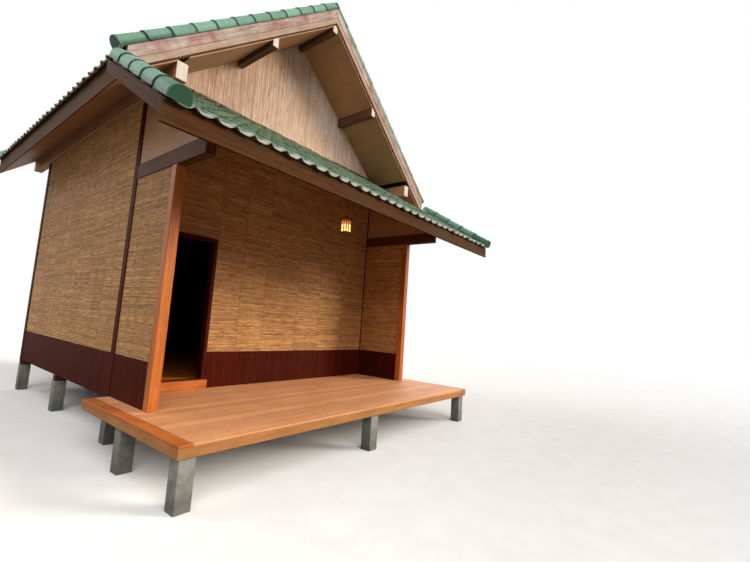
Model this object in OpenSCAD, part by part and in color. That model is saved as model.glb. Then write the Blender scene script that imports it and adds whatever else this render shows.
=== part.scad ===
// Small stilt house of timber, bamboo and glazed clay tiles.
// A deck on short concrete piers carries an open porch and one closed room.
// A steep gable roof covers the room and a lean-to roof covers the porch.
// +X is to the right as one faces the porch, +Y to the back, +Z up. The origin is the centre
// of the overall size in plan, at the level where the piers meet the ground.

/* [House] */
// Width over the side walls
house_w = 5040; // [4400:10:5800]
// Depth of the closed room, over its front and back walls
room_d = 4600; // [3600:10:6000]
// Depth of the porch, from the deck's front edge to the front wall
porch_d = 2400; // [2100:10:2800]
// Side of the square posts
post_w = 120; // [100:5:150]
// Thickness of the walls between the posts
wall_t = 90; // [70:5:100]
// Height from the deck to the underside of the wall plates
wall_h = 3970; // [3700:10:4200]
// Height of the red-brown timber wainscot above the deck
wainscot_h = 540; // [400:10:800]

/* [Piers and floor] */
// Side of a square concrete pier
pier_w = 160; // [120:10:240]
// Height of a pier from the ground to the floor frame
pier_h = 480; // [300:10:900]
// Width of the porch deck
deck_w = 5600; // [5300:10:6200]
// Depth of the bearers and joists under the deck
frame_h = 92; // [70:2:120]
// Width of a bearer
bearer_w = 100; // [80:5:140]
// Width of a joist
joist_w = 60; // [45:5:80]
// Greatest distance between joists
joist_gap = 700; // [500:10:800]
// Thickness of the floor boards
board_t = 28; // [20:1:40]
// Thickness of the edge boards round the deck
rim_t = 35; // [25:1:50]
// Width of the border board at each end of the deck
border_w = 140; // [100:5:200]
// Height of the room floor above the deck
step_h = 135; // [100:5:180]
// Depth of the step in front of the doorway
step_d = 90; // [60:5:200]

/* [Doorway] */
// Clear width of the doorway
door_w = 800; // [700:10:950]
// Clear height of the doorway above the room floor
door_h = 2100; // [1950:10:2300]
// Middle of the doorway, left of the middle of the house
door_x = 1700; // [1500:10:1750]
// Width of the door frame's timbers
jamb_w = 55; // [40:5:70]

/* [Main roof] */
// Pitch of the main roof in degrees
roof_pitch = 40; // [36:1:44]
// Overhang of the eaves beyond the side walls
eave_over = 610; // [450:10:700]
// Overhang of the roof in front of each gable wall
gable_over = 960; // [700:10:1100]
// Depth of the rafters, square to the slope
rafter_h = 200; // [120:5:220]
// Width of a rafter
rafter_w = 50; // [40:5:70]
// Greatest distance between rafters
rafter_gap = 660; // [450:10:900]
// Thickness of the boards under the tiles
deck_t = 25; // [18:1:32]
// Thickness of the tile covering, square to the slope
tile_t = 45; // [35:1:60]
// Thickness of the soffit panels
soffit_t = 15; // [9:1:20]
// Width of the wall plates
plate_w = 140; // [120:5:180]
// Depth of the wall plates
plate_h = 230; // [180:5:260]
// How far the wall plates stand out from the walls
plate_out = 60; // [20:5:80]
// Width of the ridge and mid purlins
purlin_w = 100; // [80:5:140]
// Distance from the middle of the house to each mid purlin
purlin_x = 1200; // [1000:10:1400]
// Depth of a mid purlin below the soffit
purlin_drop = 85; // [60:5:120]
// Depth of the bargeboards, square to the slope
barge_h = 205; // [150:5:220]
// Thickness of the bargeboards
barge_t = 32; // [25:1:45]

/* [Ridge and verge tiles] */
// Length of roof that one ridge or verge tile covers
cap_pitch = 342; // [250:1:400]
// Outer radius of the ridge and verge tiles at their wide ends
cap_r = 105; // [80:1:120]
// Thickness of the ridge and verge tiles
cap_t = 12; // [8:1:16]
// Length by which each tile covers the narrow end of the next
cap_lap = 45; // [20:1:80]
// Depth of the verge tiles' skirts below the tops of the roof tiles
skirt_h = 35; // [15:1:45]

/* [Porch roof] */
// Pitch of the lean-to roof in degrees
lean_pitch = 31; // [28:1:34]
// Height above the deck at which the lean-to tiles meet the gable wall
lean_top = 4430; // [4300:10:4500]
// Half the length of the lean-to roof
lean_half = 3310; // [3150:10:3500]
// Overhang of the lean-to in front of the deck
lean_over = 85; // [20:5:300]
// Overhang of the tiles in front of the fascia
tile_lip = 50; // [20:5:80]
// Depth of the lean-to rafters, square to the slope
lean_rafter_h = 100; // [80:5:120]
// Depth of the lean-to fascia
fascia_h = 190; // [160:5:260]
// Thickness of the fascia boards
fascia_t = 30; // [20:1:40]
// Depth of the side beams
beam_h = 200; // [150:5:240]
// Gap between the main roof's bargeboards and the lean-to's full length
barge_clear = 40; // [20:5:100]
// Distance from the deck's front edge to the front of the posts
post_y = 1290; // [900:10:1400]
// Distance from the deck's front edge to the front ends of the side beams
beam_y = 660; // [500:10:800]
// Depth of the ledger that carries the top of the lean-to
ledger_h = 230; // [180:5:280]
// Thickness of the ledger
ledger_t = 80; // [60:5:100]
// Width of the eave purlin
eave_purlin_w = 80; // [60:5:100]
// Height of the eave purlin's front face above the side beams
eave_purlin_h = 104; // [80:2:160]

/* [Lantern] */
// Side of the square lantern
lantern_w = 115; // [90:5:160]
// Height of the lantern's glazed body
lantern_h = 195; // [160:5:300]
// Height of the lantern's foot above the deck
lantern_z = 2560; // [2300:10:2600]
// Distance from the deck's front edge to the middle of the lantern
lantern_y = 860; // [780:10:1000]

/* [Hidden] */

// Levels
deck_z = pier_h + frame_h + board_t;
floor_z = deck_z + step_h;
plate_z = deck_z + wall_h;
plate_top = plate_z + plate_h;

// Gap between a curved piece and what it rests on
seat = 0.3;
// Distance by which skirts and end plates stand in from the edges of their tiles
cap_edge = cap_t / 10;
// How much a ridge or verge tile's radius narrows over the roof that it covers
cap_taper = cap_t + seat;
// Distance from the roof's edge to its tiles, which end inside the verge tiles' skirts
verge_in = cap_t + seat + cap_taper;

// Plan
half_w = house_w / 2;
// Distance by which the lean-to's lowest verge tiles reach past its other tiles
verge_out = skirt_h * tan(lean_pitch) + seat + cap_t;
front_reach = lean_over + tile_lip + verge_out * cos(lean_pitch)
    + (cap_r - cap_edge) * sin(lean_pitch);
back_reach = porch_d + room_d + gable_over;
y_deck = -(back_reach - front_reach) / 2;
y_wall = y_deck + porch_d;
y_back = y_wall + room_d;
y_barge = y_wall - gable_over;
y_verge = y_back + gable_over;
inset = (post_w - wall_t) / 2;

// Main roof planes: heights at the middle of the house
run = tan(roof_pitch);
slant = 1 / cos(roof_pitch);
plate_x = half_w + plate_out;
rafter_low = plate_top + plate_x * run;
rafter_top = rafter_low + rafter_h * slant;
roof_line = rafter_top + deck_t * slant;
soffit_low = rafter_low - soffit_t * slant;
eave_x = half_w + eave_over;

// Lean-to roof planes: heights at the front wall
lean_run = tan(lean_pitch);
lean_slant = 1 / cos(lean_pitch);
lean_tile_top = deck_z + lean_top;
lean_board = lean_tile_top - tile_t * lean_slant;
lean_rafter_top = lean_board - deck_t * lean_slant;
lean_rafter_low = lean_rafter_top - lean_rafter_h * lean_slant;
lean_soffit_low = lean_rafter_low - soffit_t * lean_slant;
y_fascia = y_deck - lean_over;
y_split = y_barge - barge_clear;
eave_purlin_y = y_deck + beam_y;
beam_top = lean_soffit_low - (porch_d - beam_y) * lean_run - eave_purlin_h;
beam_z = beam_top - beam_h;

// Outline of a strip between two heights of the main roof, from x0 to x1 on the right side
function slope_strip(x0, x1, low, high) = [
    [x0, low - x0 * run], [x1, low - x1 * run], [x1, high - x1 * run], [x0, high - x0 * run]];

// Extrudes an outline in X and Z along Y
module along_y(y0, y1, outline) {
    translate([0, y1, 0])
        rotate([90, 0, 0])
            linear_extrude(height = y1 - y0)
                polygon(outline);
}

// Extrudes an outline in Y and Z along X
module along_x(x0, x1, outline) {
    translate([x0, 0, 0])
        rotate([90, 0, 90])
            linear_extrude(height = x1 - x0)
                polygon(outline);
}

// A box between two corners
module block(a, b) {
    translate(a)
        cube(b - a);
}

// A piece and its mirror image on the other side of the house
module both_sides() {
    children();
    mirror([1, 0, 0])
        children();
}

// Outline of the lean-to between two heights, from the depth y0 to y1
function lean_strip(y0, y1, low, high) = [
    [y0, low - (y_wall - y0) * lean_run], [y1, low - (y_wall - y1) * lean_run],
    [y1, high - (y_wall - y1) * lean_run], [y0, high - (y_wall - y0) * lean_run]];

porch_pier_x = deck_w / 2 - rim_t - pier_w / 2;
room_pier_x = half_w - pier_w / 2;
front_row = y_deck + rim_t + pier_w / 2;
post_row = y_deck + post_y + post_w / 2;
wall_row = y_wall + post_w / 2;
back_row = y_back - pier_w / 2;
mid_row = (wall_row + back_row) / 2;

module pier(x, y) {
    translate([x - pier_w / 2, y - pier_w / 2, 0])
        cube([pier_w, pier_w, pier_h]);
}

module piers() {
    color("#8d8f8c") {
        for (x = [-porch_pier_x, 0, porch_pier_x])
            for (y = [front_row, post_row])
                pier(x, y);
        for (x = [-room_pier_x, 0, room_pier_x])
            for (y = [wall_row, mid_row, back_row])
                pier(x, y);
    }
}

module bearer(half, y) {
    block([-half, y - bearer_w / 2, pier_h], [half, y + bearer_w / 2, pier_h + frame_h]);
}

module bearers() {
    color("#6d4a33") {
        bearer(deck_w / 2 - rim_t, front_row);
        bearer(deck_w / 2 - rim_t, post_row);
        for (y = [wall_row, mid_row, back_row])
            bearer(half_w, y);
    }
}

// Joists in one bay between two bearers
module joist_bay(half, y0, y1, low, high) {
    count = ceil((2 * half - joist_w) / joist_gap);
    step = (2 * half - joist_w) / count;
    for (i = [0:count])
        block([-half + i * step, y0, low], [-half + i * step + joist_w, y1, high]);
}

module deck_joists() {
    color("#6d4a33") {
        joist_bay(deck_w / 2 - rim_t, front_row + bearer_w / 2, post_row - bearer_w / 2,
            pier_h, pier_h + frame_h);
        joist_bay(deck_w / 2 - rim_t, post_row + bearer_w / 2, wall_row - bearer_w / 2,
            pier_h, pier_h + frame_h);
    }
}

module deck_rim() {
    color("#c8845a")
        difference() {
            block([-deck_w / 2, y_deck, pier_h], [deck_w / 2, y_wall, deck_z - board_t]);
            block([-deck_w / 2 + rim_t, y_deck + rim_t, 0], [deck_w / 2 - rim_t, y_back, deck_z]);
        }
}

module porch_deck() {
    color("#d99a66")
        block([-deck_w / 2 + border_w, y_deck, deck_z - board_t],
            [deck_w / 2 - border_w, y_wall, deck_z]);
}

module deck_borders() {
    color("#c8845a")
        both_sides()
            block([deck_w / 2 - border_w, y_deck, deck_z - board_t], [deck_w / 2, y_wall, deck_z]);
}

module room_joists() {
    color("#6d4a33")
        joist_bay(half_w - post_w, y_wall + post_w, y_back - post_w,
            pier_h + frame_h, floor_z - board_t);
}

module room_floor() {
    color("#b5733f")
        block([-half_w + post_w, y_wall + post_w, floor_z - board_t],
            [half_w - post_w, y_back - post_w, floor_z]);
}

frame_x0 = -door_x - door_w / 2 - jamb_w;
frame_x1 = -door_x + door_w / 2 + jamb_w;
frame_top = floor_z + door_h + jamb_w;

module door_step() {
    color("#c8702e")
        block([frame_x0, y_wall - step_d, deck_z], [frame_x1, y_wall, floor_z]);
}

module door_frame() {
    color("#5a1a05")
        difference() {
            block([frame_x0, y_wall, deck_z - board_t], [frame_x1, y_wall + post_w, frame_top]);
            block([frame_x0 + jamb_w, y_wall - 1, floor_z],
                [frame_x1 - jamb_w, y_wall + post_w + 1, frame_top - jamb_w]);
        }
}

wainscot_z = deck_z + wainscot_h;
wall_y0 = y_wall + inset;
wall_y1 = wall_y0 + wall_t;

// The front wall's parts beside the doorway, between two heights
module beside_doorway(low, high) {
    block([-half_w + post_w, wall_y0, low], [frame_x0, wall_y1, high]);
    block([frame_x1, wall_y0, low], [half_w - post_w, wall_y1, high]);
}

module front_wainscots() {
    color("#5a1a05")
        beside_doorway(deck_z - board_t, wainscot_z);
}

module front_walls() {
    color("#b98a4b")
        beside_doorway(wainscot_z, frame_top);
}

module front_wall_over() {
    color("#b98a4b")
        block([-half_w + post_w, wall_y0, frame_top], [half_w - post_w, wall_y1, plate_z]);
}

porch_wall_y0 = y_deck + post_y + post_w;

module porch_side_walls() {
    color("#b98a4b")
        both_sides()
            block([half_w - post_w + inset, porch_wall_y0, wainscot_z],
                [half_w - inset, y_wall, beam_z]);
}

module porch_side_wainscots() {
    color("#5a1a05")
        both_sides()
            block([half_w - post_w + inset, porch_wall_y0, deck_z],
                [half_w - inset, y_wall, wainscot_z]);
}

module side_walls() {
    color("#b98a4b")
        both_sides()
            block([half_w - post_w + inset, y_wall + post_w, wainscot_z],
                [half_w - inset, y_back - post_w, plate_z]);
}

module side_wainscots() {
    color("#5a1a05")
        both_sides()
            block([half_w - post_w + inset, y_wall + post_w, pier_h + frame_h],
                [half_w - inset, y_back - post_w, wainscot_z]);
}

module back_wainscot() {
    color("#5a1a05")
        block([-half_w + post_w, y_back - inset - wall_t, pier_h + frame_h],
            [half_w - post_w, y_back - inset, wainscot_z]);
}

module back_wall() {
    color("#b98a4b")
        block([-half_w + post_w, y_back - inset - wall_t, wainscot_z],
            [half_w - post_w, y_back - inset, plate_z]);
}

module porch_posts() {
    color("#c8702e")
        both_sides()
            block([half_w - post_w, y_deck + post_y, deck_z],
                [half_w, y_deck + post_y + post_w, beam_z]);
}

module room_posts() {
    color("#7d4526")
        both_sides()
            for (y = [y_wall, y_back - post_w])
                block([half_w - post_w, y, pier_h + frame_h], [half_w, y + post_w, plate_z]);
}

module side_beams() {
    color("#5b3a26")
        both_sides()
            block([half_w - post_w, y_deck + beam_y, beam_z], [half_w, y_wall, beam_top]);
}

// The boards over each side beam, up to the lean-to's soffit and round the wall plate
module side_infills() {
    y0 = eave_purlin_y + eave_purlin_w;
    color("#6b4a30")
        both_sides()
            difference() {
                along_x(half_w - post_w + inset, half_w - inset, [
                    [y0, beam_top], [y_wall, beam_top],
                    [y_wall, lean_soffit_low],
                    [y0, lean_soffit_low - (y_wall - y0) * lean_run]]);
                block([0, y_barge, plate_z], [plate_x, y_back, plate_top + rafter_h]);
            }
}

module wall_plates() {
    color("#7a5236")
        both_sides()
            block([plate_x - plate_w, y_barge + barge_t, plate_z],
                [plate_x, y_verge - barge_t, plate_top]);
}

module cross_plates() {
    x = plate_x - plate_w;
    color("#7a5236")
        for (y = [y_wall, y_back - post_w])
            block([-x, y, plate_z], [x, y + post_w, plate_top]);
}

// The ledger on the front wall that the lean-to rafters hang on
module lean_ledger() {
    high = lean_rafter_low - ledger_t * lean_run;
    x = half_w - post_w;
    color("#5b3a26")
        along_x(-x, x, [
            [y_wall - ledger_t, high - ledger_h], [y_wall, high - ledger_h],
            [y_wall, lean_soffit_low], [y_wall - ledger_t, lean_soffit_low - ledger_t * lean_run]]);
}

module eave_purlin() {
    y0 = eave_purlin_y;
    y1 = y0 + eave_purlin_w;
    color("#5b3a26")
        along_x(-half_w, half_w, [
            [y0, beam_top], [y1, beam_top],
            [y1, lean_soffit_low - (y_wall - y1) * lean_run],
            [y0, lean_soffit_low - (y_wall - y0) * lean_run]]);
}

ridge_low = soffit_low - purlin_w / 2 * run - purlin_drop;

module ridge_purlin() {
    w = purlin_w / 2;
    color("#7a5236")
        along_y(y_barge + barge_t, y_verge - barge_t, [
            [-w, ridge_low], [w, ridge_low], [w, rafter_low - w * run],
            [0, rafter_low], [-w, rafter_low - w * run]]);
}

mid_low = soffit_low - (purlin_x + purlin_w / 2) * run - purlin_drop;

function mid_purlin_outline() = [
    [purlin_x - purlin_w / 2, mid_low], [purlin_x + purlin_w / 2, mid_low],
    [purlin_x + purlin_w / 2, rafter_low - (purlin_x + purlin_w / 2) * run],
    [purlin_x - purlin_w / 2, rafter_low - (purlin_x - purlin_w / 2) * run]];

module mid_purlins() {
    color("#7a5236")
        both_sides()
            along_y(y_barge + barge_t, y_verge - barge_t, mid_purlin_outline());
}

rafter_span = y_verge - y_barge - 2 * barge_t - rafter_w;
rafter_count = ceil(rafter_span / rafter_gap);
fascia_x = eave_x - fascia_t;

module rafters() {
    color("#7a5236")
        both_sides()
            for (i = [0:rafter_count])
                let (y = y_barge + barge_t + i * rafter_span / rafter_count)
                    along_y(y, y + rafter_w, slope_strip(0, fascia_x, rafter_low, rafter_top));
}

module roof_boards() {
    color("#6b4a30")
        both_sides()
            along_y(y_barge + barge_t, y_verge - barge_t,
                slope_strip(0, fascia_x, rafter_top, roof_line));
}

// Soffit panels between the ridge purlin, the mid purlins, the plates and the fascias
module soffits() {
    color("#6b5038")
        both_sides()
            for (x = [[purlin_w / 2, purlin_x - purlin_w / 2],
                    [purlin_x + purlin_w / 2, plate_x - plate_w],
                    [plate_x, fascia_x]])
                along_y(y_barge + barge_t, y_verge - barge_t,
                    slope_strip(x[0], x[1], soffit_low, rafter_low));
}

module main_tiles() {
    along_y(y_barge + verge_in, y_verge - verge_in,
        slope_strip(0, eave_x + tile_lip, roof_line, roof_line + tile_t * slant));
}

module main_tiles_left() {
    color("#3e7a5a")
        mirror([1, 0, 0])
            main_tiles();
}

module main_tiles_right() {
    color("#3e7a5a")
        main_tiles();
}

// Gable walls, from the cross plates up to the soffit, cut round the purlins
module gable_walls() {
    base = plate_x - plate_w;
    color("#c9a385")
        for (y = [y_wall, y_back - wall_t])
            difference() {
                along_y(y, y + wall_t, [
                    [-base, plate_top], [base, plate_top],
                    [base, soffit_low - base * run],
                    [0, soffit_low], [-base, soffit_low - base * run]]);
                along_y(y - 1, y + wall_t + 1, [
                    [-purlin_w / 2, ridge_low], [purlin_w / 2, ridge_low],
                    [purlin_w / 2, soffit_low], [-purlin_w / 2, soffit_low]]);
                both_sides()
                    along_y(y - 1, y + wall_t + 1, mid_purlin_outline());
            }
}

module bargeboards() {
    color("#b08d80")
        both_sides()
            for (y = [y_barge, y_verge - barge_t])
                along_y(y, y + barge_t,
                    slope_strip(0.5, eave_x, roof_line - barge_h * slant, roof_line));
}

module eave_fascias() {
    color("#6b4226")
        both_sides()
            along_y(y_barge + barge_t, y_verge - barge_t,
                slope_strip(fascia_x, eave_x, soffit_low, roof_line));
}

// A half-round tile on the plane z = 0, with its wide end at y = 0. It narrows along +Y so that
// its last part, as long as the lap, fits inside the next tile of the same row.
module cap_tile(step, lap) {
    length = step + lap;
    narrow = cap_taper * length / step;
    intersection() {
        rotate([-90, 0, 0])
            difference() {
                cylinder(h = length, r1 = cap_r, r2 = cap_r - narrow, $fn = 48);
                translate([0, 0, -1])
                    cylinder(h = length + 2, r1 = cap_r - cap_t + cap_taper / step,
                        r2 = cap_r - cap_t - narrow - cap_taper / step, $fn = 48);
            }
        translate([-cap_r, 0, 0])
            cube([2 * cap_r, length, cap_r]);
    }
}

// The skirt on the -X side of a verge tile, a little thinner than the tile
module skirt(step) {
    length = step - seat;
    narrow = cap_taper * length / step;
    x0 = cap_edge - cap_r;
    x1 = cap_t - cap_edge - cap_r;
    translate([0, 0, -skirt_h])
        linear_extrude(height = skirt_h)
            polygon([[x0, 0], [x1, 0], [x1 + narrow, length], [x0 + narrow, length]]);
}

// The plate that closes the lowest verge tile of a row
module end_plate() {
    r = cap_r - cap_edge;
    low = skirt_h - cap_edge;
    rotate([90, 0, 0])
        linear_extrude(height = cap_t)
            union() {
                intersection() {
                    circle(r = r, $fn = 48);
                    translate([-r, 0])
                        square([2 * r, r]);
                }
                translate([-r, -low])
                    square([2 * r, low]);
            }
}

// A row of verge tiles along +Y, closed at its low end, with the skirts on the -X side
module verge_row(step, count) {
    end_plate();
    for (i = [0:count - 1])
        translate([0, i * step, 0]) {
            cap_tile(step, cap_lap);
            skirt(step);
        }
}

ridge_y0 = y_barge + 2 * cap_r + seat;
ridge_len = y_verge - y_barge - 2 * (2 * cap_r + seat);
ridge_count = round(ridge_len / cap_pitch);
ridge_step = ridge_len / ridge_count;

// The ridge tiles, their lower edges cut to the two slopes of the roof
module ridge_caps() {
    top = roof_line + (tile_t + seat) * slant;
    side = 2 * cap_r;
    color("#6fae8e")
        difference() {
            for (i = [0:ridge_count - 1])
                translate([0, ridge_y0 + i * ridge_step, top - cap_r * run])
                    cap_tile(ridge_step, i < ridge_count - 1 ? cap_lap : 0);
            along_y(y_barge, y_verge, [
                [-side, 0], [side, 0], [side, top - side * run],
                [0, top], [-side, top - side * run]]);
        }
}

main_verge_len = (eave_x + tile_lip) * slant + skirt_h * run + seat;
main_verge_count = round(main_verge_len / cap_pitch);
main_verge_step = main_verge_len / main_verge_count;

// Places what lies along +Y, a distance from the ridge, on the right slope's front verge
module on_right_verge(distance) {
    translate([0, cap_r, roof_line + tile_t * slant])
        rotate([0, roof_pitch, 0])
            translate([distance, 0, 0])
                rotate([0, 0, 90])
                    children();
}

// The right slope's front verge, its top tile mitred at the middle of the house
module main_verge() {
    on_right_verge(main_verge_len)
        verge_row(main_verge_step, main_verge_count - 1);
    difference() {
        on_right_verge(main_verge_step)
            union() {
                cap_tile(main_verge_step, cap_r * run);
                skirt(main_verge_step);
            }
        translate([seat / 2 - house_w, -cap_r, 0])
            cube([house_w, 4 * cap_r, 2 * roof_line]);
    }
}

module verge_caps() {
    color("#6fae8e")
        both_sides() {
            translate([0, y_barge, 0])
                main_verge();
            translate([0, y_verge, 0])
                mirror([0, 1, 0])
                    main_verge();
        }
}

lean_rafter_span = 2 * (lean_half - fascia_t) - rafter_w;
lean_rafter_count = ceil(lean_rafter_span / rafter_gap);

// The space under the main roof that the lean-to may fill, with the wall plates left out
module under_main_roof() {
    intersection() {
        children();
        difference() {
            along_y(y_deck, y_wall, [
                [-eave_x, 0], [eave_x, 0], [eave_x, soffit_low - eave_x * run],
                [0, soffit_low], [-eave_x, soffit_low - eave_x * run]]);
            both_sides()
                block([plate_x - plate_w, y_barge, plate_z], [plate_x, y_back, plate_top]);
        }
    }
}

// A layer of the lean-to: the whole length in front of the main roof, then between its plates
module lean_layer(low, high, y0, half) {
    along_x(-half, half, lean_strip(y0, y_split, low, high));
    under_main_roof()
        along_x(-half_w, half_w, lean_strip(y_split, y_wall, low, high));
}

module lean_rafters() {
    color("#5b3a26")
        for (i = [0:lean_rafter_count])
            let (x = -lean_half + fascia_t + i * lean_rafter_span / lean_rafter_count,
                y1 = abs(x + rafter_w / 2) > half_w - post_w ? y_split : y_wall)
                along_x(x, x + rafter_w,
                    lean_strip(y_fascia + fascia_t, y1, lean_rafter_low, lean_rafter_top));
}

module lean_soffit() {
    color("#6b5038")
        lean_layer(lean_soffit_low, lean_rafter_low, y_fascia + fascia_t, lean_half - fascia_t);
}

module lean_tiles() {
    color("#3e7a5a")
        lean_layer(lean_rafter_top, lean_tile_top, y_fascia - tile_lip, lean_half - verge_in);
}

// The fascia along the eave and the verge boards at both ends
module lean_trim() {
    high = lean_rafter_top - (y_wall - y_fascia) * lean_run;
    color("#6b4226") {
        block([-lean_half, y_fascia, high - fascia_h], [lean_half, y_fascia + fascia_t, high]);
        both_sides()
            along_x(lean_half - fascia_t, lean_half,
                lean_strip(y_fascia + fascia_t, y_split, lean_soffit_low, lean_rafter_top));
    }
}

// The last tile of each row ends square at the row's top
module lean_verge_caps() {
    total = (y_split - y_fascia + tile_lip) * lean_slant + skirt_h * lean_run + seat;
    count = round(total / cap_pitch);
    step = total / count;
    color("#6fae8e")
        both_sides()
            translate([-lean_half + cap_r, y_split, lean_tile_top - (y_wall - y_split) * lean_run])
                rotate([lean_pitch, 0, 0]) {
                    translate([0, -total, 0])
                        verge_row(step, count - 1);
                    translate([0, -step, 0]) {
                        cap_tile(step, 0);
                        skirt(step);
                    }
                }
}

// The square lantern: a foot, a glazed box with bars round it, an eaved roof and its hanging rod
module lantern() {
    bar = lantern_w / 12;
    rod_r = bar / 3;
    roof_h = lantern_w * 0.6;
    z0 = deck_z + lantern_z;
    hook = lean_soffit_low - (porch_d - lantern_y + rod_r) * lean_run;
    module slab(side, low, high) {
        translate([0, 0, low])
            linear_extrude(height = high - low)
                square(side, center = true);
    }
    color("#8a4a1e")
        translate([0, y_deck + lantern_y, z0]) {
            slab(lantern_w * 1.1, -3 * bar, 0);
            slab(lantern_w - 2 * bar, -bar, lantern_h + roof_h / 4);
            for (x = [-1, 0, 1], y = [-1, 0, 1])
                translate([x * (lantern_w - bar) / 2, y * (lantern_w - bar) / 2, 0])
                    slab(bar, -bar, lantern_h + roof_h / 4);
            for (level = [1, 2])
                slab(lantern_w, (level * lantern_h - bar) / 3, (level * lantern_h + bar) / 3);
            slab(lantern_w * 1.4, lantern_h, lantern_h + roof_h / 4);
            translate([0, 0, lantern_h])
                cylinder(h = roof_h, r1 = lantern_w * 0.68, r2 = bar, $fn = 48);
            translate([0, 0, lantern_h])
                cylinder(h = hook - z0 - lantern_h, r = rod_r, $fn = 24);
        }
}

piers();
bearers();
deck_joists();
deck_rim();
porch_deck();
deck_borders();
room_joists();
room_floor();
door_step();
door_frame();
front_wainscots();
front_walls();
front_wall_over();
porch_side_walls();
porch_side_wainscots();
side_walls();
side_wainscots();
back_wall();
back_wainscot();
porch_posts();
room_posts();
side_beams();
side_infills();
wall_plates();
cross_plates();
lean_ledger();
eave_purlin();
ridge_purlin();
mid_purlins();
rafters();
roof_boards();
soffits();
main_tiles_left();
main_tiles_right();
gable_walls();
bargeboards();
eave_fascias();
ridge_caps();
verge_caps();
lean_rafters();
lean_soffit();
lean_tiles();
lean_trim();
lean_verge_caps();
lantern();
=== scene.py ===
# %% [markdown]
# A small stilt house: a timber deck on concrete piers, an open porch, one room walled with split
# bamboo, and a steep roof of green glazed tiles over it.
# The solid timbers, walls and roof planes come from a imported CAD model, the frame. This script
# never moves them. It gives each one its finish, or lays a finer piece in the same place, so
# every size below is read off the frame or is the real size of a small part such as a tile.

# %% Load the frame
import math
import random
from functools import partial

import bmesh
import bpy
from mathutils import Matrix, Vector


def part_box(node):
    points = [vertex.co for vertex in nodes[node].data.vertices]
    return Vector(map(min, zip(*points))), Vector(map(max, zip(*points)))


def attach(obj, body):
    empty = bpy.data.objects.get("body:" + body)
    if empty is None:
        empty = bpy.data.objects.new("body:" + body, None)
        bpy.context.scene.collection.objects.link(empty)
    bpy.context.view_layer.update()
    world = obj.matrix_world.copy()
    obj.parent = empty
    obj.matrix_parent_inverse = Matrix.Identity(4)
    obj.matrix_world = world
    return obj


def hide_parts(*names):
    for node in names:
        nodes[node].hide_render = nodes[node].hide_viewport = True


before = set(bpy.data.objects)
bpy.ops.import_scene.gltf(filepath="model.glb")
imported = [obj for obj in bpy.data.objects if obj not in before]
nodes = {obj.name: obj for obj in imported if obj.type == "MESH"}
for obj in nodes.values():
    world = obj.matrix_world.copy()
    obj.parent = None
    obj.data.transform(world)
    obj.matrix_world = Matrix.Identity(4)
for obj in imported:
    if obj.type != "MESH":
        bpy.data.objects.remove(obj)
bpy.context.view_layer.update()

scene = bpy.context.scene
scene.view_settings.view_transform = "Standard"

# %% [markdown]
# The roof planes are slanted, so a box does not describe them. Where a node meets an upright
# plane, its lowest and highest corners there give the heights of its two faces, and two such
# pairs give the slope. Everything on the roof is later laid out from these few numbers.

# %% Measure the frame
X, Y = 0, 1


def heights(name, axis, at):
    """Lowest and highest corner of a node where one of its coordinates has a value."""
    found = [v.co.z for v in nodes[name].data.vertices if abs(v.co[axis] - at) < 1e-4]
    return min(found), max(found)


def even_steps(length, wanted):
    """How many steps fill a length, and how long each is, if they are near a wanted length."""
    count = round(length / wanted)
    return count, length / count


deck_low, deck_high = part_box("porch_deck")
floor_low, floor_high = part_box("room_floor")
y_deck, y_wall, deck_z = deck_low.y, deck_high.y, deck_high.z
wainscot_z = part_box("front_wainscots")[1].z

# The main roof: heights at the middle of the house and how far it falls for a metre in X
tile_edge_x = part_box("main_tiles_right")[1].x
board_z, tile_z = heights("main_tiles_right", X, 0.0)
run = (tile_z - heights("main_tiles_right", X, tile_edge_x)[1]) / tile_edge_x
pitch = math.atan(run)
cos_pitch, sin_pitch = math.cos(pitch), math.sin(pitch)
soffit_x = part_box("soffits")[1].x
soffit_z = heights("soffits", X, soffit_x)[0] + soffit_x * run

# The porch roof: heights at the front wall and how far it falls for a metre in Y
lean_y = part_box("lean_tiles")[0].y
lean_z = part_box("lean_tiles")[1].z
lean_low, lean_high = heights("lean_tiles", Y, lean_y)
lean_run = (lean_z - lean_high) / (y_wall - lean_y)
lean_pitch = math.atan(lean_run)
cos_lean, sin_lean = math.cos(lean_pitch), math.sin(lean_pitch)
print(f"roof pitch {math.degrees(pitch):.1f}, porch roof pitch {math.degrees(lean_pitch):.1f} degrees")

# %% [markdown]
# The camera stands on the ground in front of the deck's left corner, a little above the deck,
# and looks up under the eaves with a short lens. It was fitted to the edges of the photograph,
# and leans a little to one side because it was held by hand. A camera looks along its own -Z,
# so its matrix has the three directions right, up and backwards as its columns.

# %% Camera
CAMERA_LEFT, CAMERA_BEFORE_DECK, CAMERA_OVER_DECK = 4.632, 3.45, 1.1625
CAMERA_TURN, CAMERA_RISE, CAMERA_LEAN = (math.radians(a) for a in (51.7635, 5.8547, 3.8671))

camera_data = bpy.data.cameras.new("camera")
camera_data.sensor_width = 36.0
camera_data.lens = 19.362
camera_data.clip_end = 200.0
camera = bpy.data.objects.new("camera", camera_data)
scene.collection.objects.link(camera)
scene.camera = camera

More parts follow.
